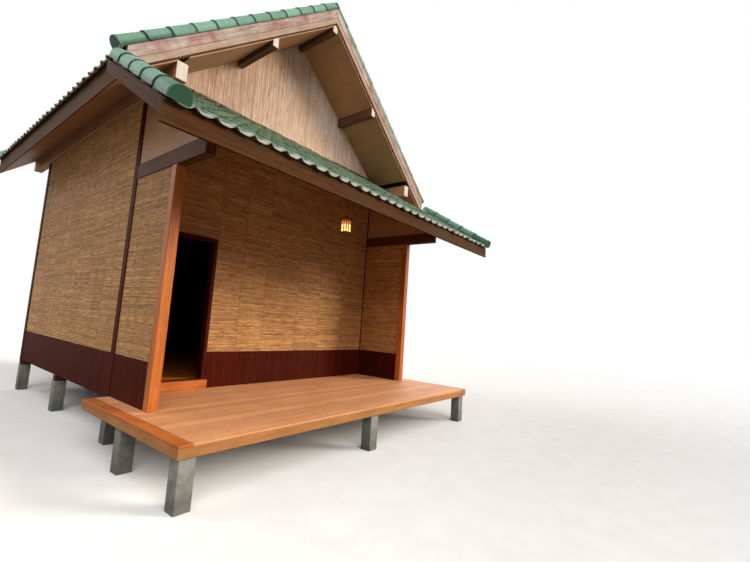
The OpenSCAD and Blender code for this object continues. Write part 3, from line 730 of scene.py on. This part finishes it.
def join(meshes):
    """One mesh of several that carry the same attributes."""
    parts = [bpy.data.objects.new("part", mesh) for mesh in meshes]
    for part in parts:
        scene.collection.objects.link(part)
    if len(parts) > 1:
        with bpy.context.temp_override(active_object=parts[0], selected_editable_objects=parts):
            bpy.ops.object.join()
    whole = parts[0].data
    bpy.data.objects.remove(parts[0])
    return whole


def facing(origin, along, upward):
    """The place of a flat piece that was made with X along, Y up and its face towards +Z."""
    along, upward = Vector(along), Vector(upward)
    outward = along.cross(upward)
    return Matrix.Translation(origin) @ Matrix((along, upward, outward)).transposed().to_4x4()


def clip(mesh, point, normal):
    """Cuts off what lies beyond a plane and closes the cut."""
    bm = bmesh.new()
    bm.from_mesh(mesh)
    cut = bmesh.ops.bisect_plane(bm, geom=bm.verts[:] + bm.edges[:] + bm.faces[:], dist=1e-6,
                                 plane_co=point, plane_no=normal, clear_outer=True)
    rim = [part for part in cut["geom_cut"] if isinstance(part, bmesh.types.BMEdge)]
    bmesh.ops.holes_fill(bm, edges=rim, sides=0)
    bm.to_mesh(mesh)
    bm.free()
    return mesh


print("laying tree with", len(sockets), "inputs")

# %% [markdown]
# The porch floor is of boards 140 mm wide that run along the front, screwed down a few
# millimetres apart. The room's floor is of narrower boards. One board is a box with rounded
# edges, laid in rows.

# %% Floors
def board_pattern(length, width, thick, radius):
    """A board along X that starts at the origin, with its edges rounded."""
    bm = bmesh.new()
    size = Vector((length, width, thick))
    bmesh.ops.create_cube(bm, size=1.0, matrix=Matrix.LocRotScale(size / 2, None, size))
    round_edges(bm, radius, 1)
    lay_grain(bm)
    return to_mesh(bm, "board_pattern")


def boarded_floor(low, high, board_width, material):
    """A floor of boards along X between two corners."""
    rows, step = even_steps(high.y - low.y, board_width)
    board = board_pattern(high.x - low.x, step - GAP, high.z - low.z, 0.002)
    return lay(board, material, up=rows, start=low + Vector((0, GAP / 2, 0)), step_up=(0, step, 0),
               shift=(0, 0.0004, 0.0), seed=4)


new_piece("deck_boards", boarded_floor(deck_low, deck_high, DECK_BOARD, oiled_decking),
          ["porch_deck"])
new_piece("room_floor_boards", boarded_floor(floor_low, floor_high, ROOM_BOARD, varnished_orange),
          ["room_floor"])
print("floors laid")

# %% [markdown]
# The walls are a red-brown wainscot of upright boards with bamboo mats above. Each face is made
# lying flat, with X along the wall and Y up, and is then stood against its wall. A mat's strips
# run level and are a little uneven in width and place, so dark lines of many widths show between
# them. The mats meet at upright seams.

# %% Walls
BOARD_WIDTH, BOARD_THICK, BOARD_GAP = 0.095, 0.008, 0.001
STRIP_PITCH, STRIP_THICK, STRIP_PART = 0.0145, 0.005, 0.2
STRIP_PROFILE = [(-0.5, 0.0), (-0.28, 0.9), (0.28, 0.9), (0.5, 0.0)]
SEAM = 0.006
STRING_GAP, STRING_W, STRING_H = 0.25, 0.0026, 0.006


def skin(bm, rings):
    """Faces between each ring of corners and the next one, all the way round."""
    around = len(rings[0])
    for near, far in zip(rings, rings[1:]):
        for j in range(around):
            k = (j + 1) % around
            bm.faces.new((near[j], far[j], far[k], near[k]))


def strip_pattern(length, width, thick, cuts):
    """A split strip along X with its rounded side up."""
    bm = bmesh.new()
    rings = [[bm.verts.new((length * i / cuts, width * a, thick * b)) for a, b in STRIP_PROFILE]
             for i in range(cuts + 1)]
    skin(bm, rings)
    bm.faces.new(rings[0])
    bm.faces.new(rings[-1])
    bmesh.ops.recalc_face_normals(bm, faces=bm.faces)
    lay_grain(bm)
    return to_mesh(bm, "strip_pattern")


def strings(width, low, high, left, seed):
    """The upright strings that tie a mat's strips together, lying flat."""
    count = max(1, round(width / STRING_GAP) - 1)
    step = width / (count + 1)
    string = strip_pattern(high - low, STRING_W, STRING_H, 6)
    string.transform(Matrix.Rotation(math.pi / 2, 4, "Z"))
    return lay(string, mat_string, across=count, start=(left + step, low, 0), step_across=(step, 0, 0),
               shift=(0.006, 0, 0), bend=(0.012, 0, 0), bend_scale=2.0, seed=seed + 7)


def mat(width, low, high, left, seed):
    """One bamboo mat: level strips from a height to a height, lying flat."""
    rows, step = even_steps(high - low, STRIP_PITCH)
    strip = strip_pattern(width - SEAM, step, STRIP_THICK, max(2, round(width / STRIP_PART)))
    strips = lay(strip, honey_bamboo, up=rows, start=(left + SEAM / 2, low + step / 2, 0),
                 step_up=(0, step, 0), shift=(0.001, 0.0012, 0), turn=(0, 0, 0.0012), slim=(0, 0.45, 0.5),
                 bend=(0, 0.014, 0), bend_scale=3.5, seed=seed)
    return join([strips, strings(width, low, high, left, seed)])


def mats(edges, low, high, seed):
    """Mats side by side between a list of upright edges."""
    pairs = enumerate(zip(edges, edges[1:]))
    return [mat(right - left, low, high, left, seed + i) for i, (left, right) in pairs]


def upright_boards(left, right, low, high, seed):
    """A wainscot of upright boards, lying flat."""
    count, step = even_steps(right - left, BOARD_WIDTH)
    board = board_pattern(high - low, step - BOARD_GAP, BOARD_THICK, 0.0025)
    board.transform(Matrix.Translation((step - BOARD_GAP / 2, 0, 0)) @ Matrix.Rotation(math.pi / 2, 4, "Z"))
    return lay(board, varnished_red, across=count, start=(left, low, 0), step_across=(step, 0, 0),
               shift=(0, 0, 0.0008), seed=seed)


def stand(name, meshes, origin, along):
    """Stands flat pieces upright against a wall as one piece."""
    whole = join(meshes)
    whole.transform(facing(origin, along, (0, 0, 1)))
    return new_piece(name, whole)


# The front wall: beside and over the doorway, its seams where the photograph shows them
frame_low, frame_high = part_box("door_frame")
front_low, front_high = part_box("front_walls")
over_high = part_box("front_wall_over")[1]
FRONT_SEAMS = [-0.76, -0.27, 0.48, 1.05, 1.72]
right_edges = [frame_high.x] + FRONT_SEAMS + [front_high.x]
front_mats = mats([front_low.x, frame_low.x], wainscot_z, over_high.z, 10)
front_mats += mats([frame_low.x, frame_high.x], frame_high.z, over_high.z, 20)
front_mats += mats(right_edges, wainscot_z, over_high.z, 30)
stand("front_bamboo_mats", front_mats, (0, front_low.y, 0), (1, 0, 0))
front_boards = [upright_boards(front_low.x, frame_low.x, deck_z, wainscot_z, 1),
                upright_boards(frame_high.x, front_high.x, deck_z, wainscot_z, 2)]
stand("front_wainscot_boards", front_boards, (0, front_low.y, 0), (1, 0, 0))


def clad(mats_name, boards_name, ends, count, foot, head, seeds, origin, along):
    """A row of mats of one width, and the boards under them, on one face of a wall."""
    left, right = ends
    edges = [left + (right - left) * i / count for i in range(count + 1)]
    stand(mats_name, mats(edges, wainscot_z, head, seeds[0]), origin, along)
    boards = upright_boards(left, right, foot, wainscot_z, seeds[1])
    stand(boards_name, [boards], origin, along)


# The porch's side walls, inside and outside
porch_low, porch_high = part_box("porch_side_walls")
inner_x = min(v.co.x for v in nodes["porch_side_walls"].data.vertices if v.co.x > 0)
for name, x, along in (("porch_left_inner", -inner_x, 1), ("porch_right_inner", inner_x, -1),
                       ("porch_left_outer", porch_low.x, -1), ("porch_right_outer", porch_high.x, 1)):
    ends = sorted((porch_low.y * along, porch_high.y * along))
    clad(name + "_mats", name + "_boards", ends, 1, deck_z, porch_high.z, (50, 3), (x, 0, 0), (0, along, 0))

# The room's side and back walls
side_low, side_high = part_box("side_walls")
back_low, back_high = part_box("back_wall")
base_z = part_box("side_wainscots")[0].z
for name, x, along in (("left", side_low.x, -1), ("right", side_high.x, 1)):
    ends = sorted((side_low.y * along, side_high.y * along))
    clad(name + "_bamboo_mats", name + "_wainscot_boards", ends, 7, base_z, side_high.z, (60, 4),
         (x, 0, 0), (0, along, 0))
clad("back_bamboo_mats", "back_wainscot_boards", (back_low.x, back_high.x), 8, base_z, back_high.z, (80, 5),
     (0, back_high.y, 0), (-1, 0, 0))


def finish_node(name, material):
    """Gives a node that stays in view its material."""
    mesh = nodes[name].data
    mesh.materials.clear()
    mesh.materials.append(material)


for name in ("front_walls", "front_wall_over", "porch_side_walls", "side_walls", "back_wall",
             "gable_walls"):
    finish_node(name, bamboo_backing)
for name in ("front_wainscots", "porch_side_wainscots", "side_wainscots", "back_wainscot"):
    dress(name, "oiled_" + name, varnished_red)
print("walls clad")

# %% [markdown]
# On the gables the strips stand upright, so one long strip is repeated along the wall. The row is
# then cut along the two slopes of the roof, which is simpler than a length for each strip.

# %% Gables
GABLE_PITCH, GABLE_OVERLAP = 0.016, 1.02
gable_half = max(v.co.x for v in nodes["gable_walls"].data.vertices)
gable_low, gable_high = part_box("gable_walls")


def clip_to_soffit(mesh, side):
    """Cuts off what stands above the soffit on one side of the house."""
    return clip(mesh, (0, 0, soffit_z), (side * sin_pitch, 0, cos_pitch))


def gable(name, y, along):
    """The upright strips on one gable, cut to the slopes."""
    count, step = even_steps(2 * gable_half, GABLE_PITCH)
    strip = strip_pattern(soffit_z - gable_low.z, step * GABLE_OVERLAP, STRIP_THICK, 8)
    strip.transform(Matrix.Rotation(math.pi / 2, 4, "Z"))
    row = lay(strip, pale_bamboo, across=count, start=(-gable_half + step / 2, gable_low.z, 0),
              step_across=(step, 0, 0), shift=(0.0012, 0, 0), turn=(0, 0, 0.0008), slim=(0.25, 0, 0.4),
              bend=(0.004, 0, 0), bend_scale=2.5, seed=90)
    row.transform(facing((0, y, 0), (along, 0, 0), (0, 0, 1)))
    for side in (1, -1):
        clip_to_soffit(row, side)
        clip(row, (side * gable_half, y, 0), (side, 0, 0))
    return new_piece(name, row)


gable("front_gable_strips", y_wall, 1)
gable("back_gable_strips", gable_high.y, -1)
print("gable strips, each gable", round(2 * gable_half, 2), "m wide")

# %% [markdown]
# A pantile is a clay slab with a wave across it. Its left edge rides up over its neighbour and
# its lower end over the course below, so the tile is made a little too wide, too long and tilted
# by its own thickness. The pattern is made lying flat with Y up the slope. The main roof has less
# room over its boards than the porch roof, so its tiles are made shallower by a factor. They are
# laid a little unevenly, as old tiles are. A batten under each course holds them off the boards.

# %% Pantiles
TILE_THICK, UNDER_GAP = 0.018, 0.004
WAVE, WAVE_CUTS = 0.017, 11
CREST_PLACE, CREST_POWER = 0.15, 2.8
SIDE_LAP, HEAD_LAP, EDGE_LIFT = 0.08, 0.05, 0.006
ROLL_TOP = WAVE + EDGE_LIFT * (1 - CREST_PLACE / (1 + SIDE_LAP))
MAIN_DEPTH, LEAN_DEPTH = 0.72, 0.95
# How worn a tile is at some distances from its lower end, and how much less on its crest
WEAR = [(0.0, 1.0), (0.02, 0.95), (0.1, 0.7), (0.15, 0.15)]
CLEAN_CREST = 0.85
BATTEN_W, BATTEN_H, BATTEN_PLACE = 0.03, 0.01, 0.04


def roll(turn):
    """How far a tile's wave has risen, from 0 in its broad trough to 1 on its narrow crest."""
    return ((1 + math.cos(2 * math.pi * (turn - CREST_PLACE))) / 2) ** CREST_POWER


def tile_mesh(bm, rings, name, sharp):
    """A clay shell over rings that run out along its upper side and back along its lower one."""
    skin(bm, rings)
    around = len(rings[0])
    for ring in (rings[0], rings[-1]):
        for j in range(around // 2 - 1):
            bm.faces.new((ring[j], ring[j + 1], ring[around - 2 - j], ring[around - 1 - j]))
    bmesh.ops.recalc_face_normals(bm, faces=bm.faces)
    mesh = to_mesh(bm, name)
    mesh.shade_smooth()
    mesh.set_sharp_from_angle(angle=math.radians(sharp))
    return mesh


def pantile_pattern(width, exposed, top, depth):
    """One tile whose highest point is at a height, with its lower end at y = 0."""
    bm = bmesh.new()
    worn = bm.verts.layers.float.new("worn")
    thick = TILE_THICK * depth
    shares = [j / WAVE_CUTS for j in range(WAVE_CUTS + 1)]
    xs = [s * (1 + SIDE_LAP) * width for s in shares]
    rolls = [roll(x / width) for x in xs]
    rings = []
    for y, wear in WEAR + [(exposed + HEAD_LAP, 0.0)]:
        drop = (thick + UNDER_GAP * depth) * y / exposed
        zs = [top - drop + depth * (EDGE_LIFT * (1 - s) + WAVE * (2 * r - 1) - ROLL_TOP)
              for s, r in zip(shares, rolls)]
        ring = [bm.verts.new((x, y, z)) for x, z in zip(xs, zs)]
        ring += [bm.verts.new((x, y, z - thick)) for x, z in reversed(list(zip(xs, zs)))]
        for corner, r in zip(ring, rolls + rolls[::-1]):
            corner[worn] = wear * (1 - CLEAN_CREST * r)
        rings.append(ring)
    return tile_mesh(bm, rings, "pantile_pattern", 45)


def pantiles(columns, courses, width, exposed, top, left, seed, depth):
    """A slope of tiles lying flat, its eave at y = 0."""
    tile = pantile_pattern(width, exposed, top, depth)
    return lay(tile, green_pantile, across=columns, up=courses, start=(left, 0, 0),
               step_across=(width, 0, 0), step_up=(0, exposed, 0), shift=(0.003, 0.011, 0.0012),
               turn=(0.004, 0.01, 0.016), seed=seed)


def battens(length, courses, exposed, left=0.0):
    """The battens under the courses, lying flat."""
    batten = board_pattern(length, BATTEN_W, BATTEN_H, 0.002)
    return lay(batten, oiled_brown, up=courses, start=(left, BATTEN_PLACE, 0), step_up=(0, exposed, 0))


def on_main(side, x, y, z):
    """The place of what lies flat, with Y up the slope, on one side of the main roof."""
    return facing((x, y, z), (0, side, 0), (-side * cos_pitch, 0, sin_pitch))


def on_porch(x, y, z):
    """The place of what lies flat, with Y up the slope, on the porch roof."""
    return facing((x, y, z), (1, 0, 0), (0, cos_lean, sin_lean))


# The main roof: its tiles lie on the roof boards
tiles_low, tiles_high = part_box("main_tiles_right")
tile_layer = (tile_z - board_z) * cos_pitch
slope_length = tile_edge_x / cos_pitch
MAIN_COURSES, MAIN_COLUMNS = 13, 32
main_width = (tiles_high.y - tiles_low.y) / MAIN_COLUMNS
main_exposed = slope_length / MAIN_COURSES
eave_z = board_z - tile_edge_x * run
for name, side in (("right", 1), ("left", -1)):
    first_y = tiles_low.y if side > 0 else tiles_high.y
    place = on_main(side, side * tile_edge_x, first_y, eave_z)
    slope = pantiles(MAIN_COLUMNS, MAIN_COURSES, main_width, main_exposed, tile_layer, 0.0, 7 + side,
                     MAIN_DEPTH)
    clip(slope, (tiles_high.y - tiles_low.y, 0, 0), (1, 0, 0))
    slope.transform(place)
    clip(slope, (0, 0, 0), (-side, 0, 0))
    new_piece(name + "_pantiles", slope, ["main_tiles_" + name])
    rows = battens(tiles_high.y - tiles_low.y, MAIN_COURSES, main_exposed)
    rows.transform(place)
    new_piece(name + "_battens", rows)
print("main tiles", round(main_width, 3), "m wide,", round(main_exposed, 3), "m of each course showing")

# The porch roof: whole columns beside the main roof end at the split, those between run on up
LEAN_COURSES, LEAN_COLUMNS, INNER_COLUMNS = 9, 33, 25
LEAN_BOARD = 0.01
lean_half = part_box("lean_tiles")[1].x
lean_width = 2 * lean_half / LEAN_COLUMNS
lean_slope = (y_wall - lean_y) / cos_lean
lean_exposed = lean_slope / LEAN_COURSES
trim_low, trim_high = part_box("lean_trim")
split_y = trim_high.y
inner_half = INNER_COLUMNS * lean_width / 2
lean_layer = (lean_high - lean_low) * cos_lean - LEAN_BOARD
lean_place = on_porch(0, lean_y, lean_low + LEAN_BOARD / cos_lean)
# The tiles start a little up the slope, so that the verges' end plates stand before them
BEHIND_PLATE = 0.015
tile_place = lean_place @ Matrix.Translation((0, BEHIND_PLATE, 0))
plate_inner = min(v.co.x for v in nodes["wall_plates"].data.vertices if v.co.x > 0)


def porch_tiles(columns, left, seed):
    """Some columns of the porch roof's tiles, in their place."""
    tiles = pantiles(columns, LEAN_COURSES, lean_width, lean_exposed, lean_layer, left, seed, LEAN_DEPTH)
    tiles.transform(tile_place)
    return tiles


def cut_under_roof(mesh):
    """Cuts the porch roof where it meets the soffits of the main roof."""
    for side in (1, -1):
        clip_to_soffit(mesh, side)
        clip(mesh, (side * plate_inner, 0, 0), (side, 0, 0))
    return clip(mesh, (0, y_wall, 0), (0, 1, 0))


outer_columns = (LEAN_COLUMNS - INNER_COLUMNS) // 2
outer = join([porch_tiles(outer_columns, -lean_half, 15), porch_tiles(outer_columns, inner_half, 16)])
clip(outer, (0, split_y, 0), (0, 1, 0))
clip(outer, (lean_half, 0, 0), (1, 0, 0))
inner = porch_tiles(INNER_COLUMNS, -inner_half, 17)
edge = inner.copy()
cut_under_roof(inner)
clip(edge, (0, split_y, 0), (0, 1, 0))
right_edge = clip(edge.copy(), (plate_inner, 0, 0), (-1, 0, 0))
left_edge = clip(edge, (-plate_inner, 0, 0), (1, 0, 0))
lean_tiles = join([inner, outer, right_edge, left_edge])
new_piece("porch_pantiles", lean_tiles, ["lean_tiles"])


def lean_board(half, foot, length):
    """Boards under the porch tiles, lying flat, that begin at a distance up the slope."""
    board = board_pattern(2 * half, length, LEAN_BOARD, 0.002)
    board.transform(Matrix.Translation((-half, foot, -LEAN_BOARD)))
    return lay(board, oiled_brown)


def lean_boards():
    """The boards under the porch tiles, as wide as the roof in front and narrower behind."""
    lip = (trim_low.y - lean_y) / cos_lean
    front_length = (split_y - lean_y) / cos_lean
    whole = join([lean_board(lean_half, lip, front_length - lip),
                  lean_board(plate_inner, front_length, lean_slope - front_length),
                  battens(2 * inner_half, LEAN_COURSES, lean_exposed, -inner_half)])
    whole.transform(lean_place)
    for side in (1, -1):
        clip_to_soffit(whole, side)
    return whole


new_piece("porch_roof_boards", lean_boards())

# A fillet of mortar and moss where the tiles meet the gable, in lumps
FILLET_W, FILLET_H, FILLET_SUNK, LUMP, LUMP_LAP = 0.03, 0.05, 0.8, 0.12, 1.3
lumps = round(2 * plate_inner / LUMP)
fillet = lay(board_pattern(LUMP * LUMP_LAP, FILLET_W, FILLET_H, 0.006), mossy_mortar, across=lumps,
             start=(-plate_inner, y_wall - FILLET_W, lean_z - FILLET_SUNK * FILLET_H),
             step_across=(LUMP, 0, 0), shift=(0.01, 0, 0.003), turn=(0, 0.03, 0),
             slim=(0.1, 0.3, 0.35), seed=18)
new_piece("mossy_fillet", cut_under_roof(fillet))
# A slim strip along the foot of the porch's fascia
FOOT_H, FOOT_OUT, FOOT_IN = 0.028, 0.008, 0.004
foot_strip = board_pattern(2 * trim_high.x, FOOT_OUT + FOOT_IN, FOOT_H, 0.003)
foot_strip.transform(Matrix.Translation((trim_low.x, trim_low.y - FOOT_OUT, trim_low.z)))
new_piece("fascia_foot_strip", lay(foot_strip, weathered_brown))
print("porch tiles", round(lean_width, 3), "m wide,", round(lean_exposed, 3), "m of each course showing")

# %% [markdown]
# The ridge and the verges are capped with half-round tiles, each a little wider at its lower end
# so that it laps over the next one. A verge tile also has a skirt down its outer side, and the
# lowest of a row is closed by a plate. The pattern is a ring of points swept along Y: its radius
# steps out into a low band round the wide end and then narrows. Shade is painted just above each
# lap, on the front of the band, under the skirt and on the plate, where the tile's first attribute
# is high.

# %% Ridge and verge tiles
CAP_PITCH, CAP_R, CAP_THICK, CAP_LAP, SKIRT = 0.342, 0.105, 0.012, 0.045, 0.035
SEAT = 0.0003
CAP_TAPER = CAP_THICK + SEAT
LIP, BAND, BAND_STEP, BAND_FOOT = 0.004, 0.034, 0.003, 0.005
# Painted shade: in the band's foot, on the skirts and the plates, and from where to where before the lap
FOOT_SHADE, SKIRT_SHADE, PLATE_SHADE = 0.25, 0.9, 0.5
FOOT_UNSHADED, LAP_UNSHADED, LAP_SHADED = 0.03, 0.045, 0.012
ARC_CUTS = 16


def arch(radius):
    """Corners along a half circle, from its right foot to its left one."""
    turns = [math.pi * i / ARC_CUTS for i in range(ARC_CUTS + 1)]
    return [(radius * math.cos(turn), radius * math.sin(turn)) for turn in turns]


def cap_ring(bm, worn, y, radius, wear, skirt_side):
    """A ring of corners round the shell of a cap tile at one place along it."""
    outer, inner = arch(radius), arch(radius - CAP_THICK)
    if skirt_side:
        foot = 0 if skirt_side > 0 else -1
        outer[foot], inner[foot] = (outer[foot][0], -SKIRT), (inner[foot][0], -SKIRT)
    ring = [bm.verts.new((x, y, z)) for x, z in outer + inner[::-1]]
    # Shade is painted on the skirt, below the shell's feet
    for corner in ring:
        corner[worn] = max(wear, SKIRT_SHADE if corner.co.z < 0 else 0.0)
    return ring


def cap_pattern(step, lap, skirt_side=0):
    """A cap tile along +Y with its wide end at y = 0 and its skirt on one side, if it has one."""
    bm = bmesh.new()
    worn = bm.verts.layers.float.new("worn")
    # Places along the tile, each with how far it stands in from the band and how much shade is painted on
    # it
    places = [(0.0, -BAND_STEP, SKIRT_SHADE), (LIP, 0.0, 0.0), (BAND, 0.0, 0.0),
              (BAND + BAND_FOOT, -BAND_STEP, FOOT_SHADE), (BAND + FOOT_UNSHADED, -BAND_STEP, 0.0),
              (step - LAP_UNSHADED, 0.0, 0.0), (step - LAP_SHADED, 0.0, 1.0)]
    if lap:
        places.append((step + lap, 0.0, 1.0))
    else:
        places[-1] = (step, 0.0, 0.0)
    rings = [cap_ring(bm, worn, y, CAP_R - CAP_TAPER * y / step + more, wear, skirt_side)
             for y, more, wear in places]
    return tile_mesh(bm, rings, "cap_pattern", 40)


def end_plate_pattern():
    """The plate that closes the lowest tile of a verge row."""
    bm = bmesh.new()
    worn = bm.verts.layers.float.new("worn")
    radius = CAP_R - BAND_STEP
    outline = arch(radius) + [(-radius, -SKIRT), (radius, -SKIRT)]
    back = [bm.verts.new((x, 0, z)) for x, z in outline]
    front = [bm.verts.new((x, -CAP_THICK, z)) for x, z in outline]
    # The plate's front face is painted with shade
    for corner in front:
        corner[worn] = PLATE_SHADE
    bm.faces.new(back)
    bm.faces.new(front)
    skin(bm, [front, back])
    bmesh.ops.recalc_face_normals(bm, faces=bm.faces)
    return to_mesh(bm, "end_plate_pattern")


def verge_row(length, skirt_side, seed, top_lap, low_glaze, low_count):
    """A row of verge tiles along +Y that ends at y = 0, with the plate at its low end.

    Its lowest tiles have a glaze of their own."""
    count, step = even_steps(length, CAP_PITCH)
    tile = cap_pattern(step, CAP_LAP, skirt_side)
    rows = []
    for glaze, first, up in ((low_glaze, 0, low_count), (mint_cap, low_count, count - 1 - low_count)):
        rows.append(lay(tile, glaze, up=up, start=(0, first * step - length, 0), step_up=(0, step, 0),
                        turn=(0.002, 0, 0.003), seed=seed + first))
    top = lay(cap_pattern(step, top_lap, skirt_side), mint_cap, start=(0, -step, 0), seed=seed + 1)
    plate = lay(end_plate_pattern(), low_glaze, start=(0, -length, 0), seed=seed + 2)
    return join(rows + [top, plate])


def main_verges():
    """The four verges of the main roof, mitred at the middle of the house."""
    length = slope_length + SKIRT * run + SEAT
    low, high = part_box("bargeboards")
    rows = []
    for side in (1, -1):
        for y, skirt_side in ((low.y + CAP_R, -side), (high.y - CAP_R, side)):
            low_glaze, low_count = (bare_cap, 3) if side > 0 and y < y_wall else (mint_cap, 1)
            row = verge_row(length, skirt_side, 100 + len(rows) * 5, CAP_R * run, low_glaze, low_count)
            row.transform(on_main(side, 0, y, tile_z))
            rows.append(clip(row, (0, 0, 0), (-side, 0, 0)))
    return join(rows)


def porch_verges():
    """The two verges of the porch roof, which end where the main roof covers them."""
    length = (split_y - lean_y) / cos_lean + SKIRT * lean_run + SEAT
    top_z = lean_high + (split_y - lean_y) * lean_run
    rows = []
    for side in (1, -1):
        # The lowest tile and the plate take the glaze painted darker as if in shade
        row = verge_row(length, side, 130 + side, 0, shaded_cap, 1)
        row.transform(on_porch(side * (trim_high.x - CAP_R), split_y, top_z))
        rows.append(row)
    return join(rows)


def ridge():
    """The ridge tiles, between the verges' top tiles."""
    low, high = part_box("ridge_caps")
    count, step = even_steps(high.y - low.y, CAP_PITCH)
    foot = tile_z + SEAT - CAP_R * run
    tiles = lay(cap_pattern(step, CAP_LAP), mint_cap, up=count - 1, start=(0, low.y, foot),
                step_up=(0, step, 0), seed=140)
    last = lay(cap_pattern(step, 0), mint_cap, start=(0, high.y - step, foot), seed=141)
    return join([tiles, last])


new_piece("glazed_verge_tiles", main_verges(), ["verge_caps"])
new_piece("glazed_porch_verge_tiles", porch_verges(), ["lean_verge_caps"])
new_piece("glazed_ridge_tiles", ridge(), ["ridge_caps"])
print("caps laid")

# %% [markdown]
# The bargeboards are two boards one above the other, an upper one in worn pink paint and a lower
# one in beige that stands back a little. Each is a slanted outline stretched along Y.

# %% Bargeboards
UPPER_SHARE = 0.6
STEP_BACK = 0.006
MITRE_GAP = 0.0005


def slanted_board(bm, side, x1, low, high, y0, y1):
    """A board along the slope of the main roof, between two heights at the middle."""
    outline = [(MITRE_GAP, low), (x1, low - x1 * run), (x1, high - x1 * run), (MITRE_GAP, high)]
    rings = [[bm.verts.new((side * x, y, z)) for x, z in outline] for y in (y0, y1)]
    for j in range(4):
        k = (j + 1) % 4
        bm.faces.new((rings[0][j], rings[0][k], rings[1][k], rings[1][j]))
    bm.faces.new(rings[0])
    bm.faces.new(rings[1])


def bargeboards(low_share, high_share, back):
    """Boards on both gables that cover a share of the bargeboards' depth."""
    low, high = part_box("bargeboards")
    foot, head = (z + high.x * run for z in heights("bargeboards", X, high.x))
    corners = nodes["bargeboards"].data.vertices
    thick = min(v.co.y for v in corners if v.co.y > low.y + 1e-3) - low.y
    bottom, top = (foot + (head - foot) * share for share in (low_share, high_share))
    bm = bmesh.new()
    for side in (1, -1):
        slanted_board(bm, side, high.x, bottom, top, low.y + back, low.y + thick)
        slanted_board(bm, side, high.x, bottom, top, high.y - thick, high.y - back)
    bmesh.ops.recalc_face_normals(bm, faces=bm.faces)
    round_edges(bm, 0.004)
    lay_grain(bm)
    lay_tone(bm, 3)
    return bm


upper = to_mesh(bargeboards(1 - UPPER_SHARE, 1.0, 0.0), "upper_bargeboards", pink_paint)
lower = to_mesh(bargeboards(0.0, 1 - UPPER_SHARE, STEP_BACK), "lower_bargeboards", beige_paint)
new_piece("upper_bargeboards", upper, ["bargeboards"])
new_piece("lower_bargeboards", lower, ["bargeboards"])
print("bargeboards painted")

# %% [markdown]
# The lantern hangs under the porch roof. Its wooden frame is already in the solid model, so only
# the paper panes are added: a thin slab behind each opening between the bars, lit from within.

# %% Lantern
def lit_paper(low, high):
    """Waxed paper with a lamp low behind it: pale yellow there, dim orange up under the cap."""
    material, add = start("lit_waxed_paper")
    space = add("TexCoord").outputs["Object"]
    cloud = add("TexNoise", {"Vector": space, "Scale": 60.0, "Detail": 3.0})
    height = add("SeparateXYZ", {0: space}).outputs["Z"]
    height = add("MapRange", {"Value": height, "From Min": low, "From Max": high})
    place = add("Math", {0: cloud, 1: 0.25, 2: height}, operation="MULTIPLY_ADD")
    glow = add("ValToRGB", {0: place},
               [(0.15, "#f6d070"), (0.55, "#ffd98a"), (0.8, "#d9924a"), (1.05, "#7c3c14")])
    shader = add("BsdfPrincipled", {"Base Color": glow, "Roughness": 0.7, "Emission Color": glow,
                                    "Emission Strength": 1.6})
    add("OutputMaterial", {"Surface": shader})
    return material


# The lantern's foot is a tenth wider than its body, and stands three bars high
FOOT_WIDER, FOOT_BARS, BARS_A_SIDE = 1.1, 3, 12
PANE, PANE_ROWS = 0.003, 3
lantern_low, lantern_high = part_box("lantern")
lantern_mid = (lantern_low + lantern_high) / 2
foot = [v.co.x for v in nodes["lantern"].data.vertices if abs(v.co.z - lantern_low.z) < 1e-4]
side = (max(foot) - min(foot)) / FOOT_WIDER
bar = side / BARS_A_SIDE
glazed_top = min(v.co.z for v in nodes["lantern"].data.vertices if v.co.x > lantern_high.x - 1e-4)
glazed_low = lantern_low.z + FOOT_BARS * bar
row_height = (glazed_top - glazed_low) / PANE_ROWS
bm = bmesh.new()
for turn in range(4):
    spin = Matrix.Rotation(turn * math.pi / 2, 4, "Z")
    for column in (-1, 1):
        for row in range(PANE_ROWS):
            centre = Vector((column * side / 4, -(side / 2 - bar), (row + 0.5) * row_height))
            size = Vector((side / 2 - bar, PANE, row_height - bar / 2))
            place = Matrix.Translation((lantern_mid.x, lantern_mid.y, glazed_low)) @ spin
            bmesh.ops.create_cube(bm, size=1.0, matrix=place @ Matrix.LocRotScale(centre, None, size))
paper = lit_paper(glazed_low, glazed_top)
new_piece("lantern_panes", to_mesh(bm, "lantern_panes", paper))
# Dark brown turned and glued wood with a thin satin varnish
lantern_wood = streaked("satin_lantern_wood", (300.0, 300.0, 30.0), 4.0,
                        [(0.3, "#4a2210"), (0.7, "#8a4a24")], 0.45, 0.0004, 0.5)
finish_node("lantern", lantern_wood)
print("24 panes in a lantern", round(side, 3), "m wide")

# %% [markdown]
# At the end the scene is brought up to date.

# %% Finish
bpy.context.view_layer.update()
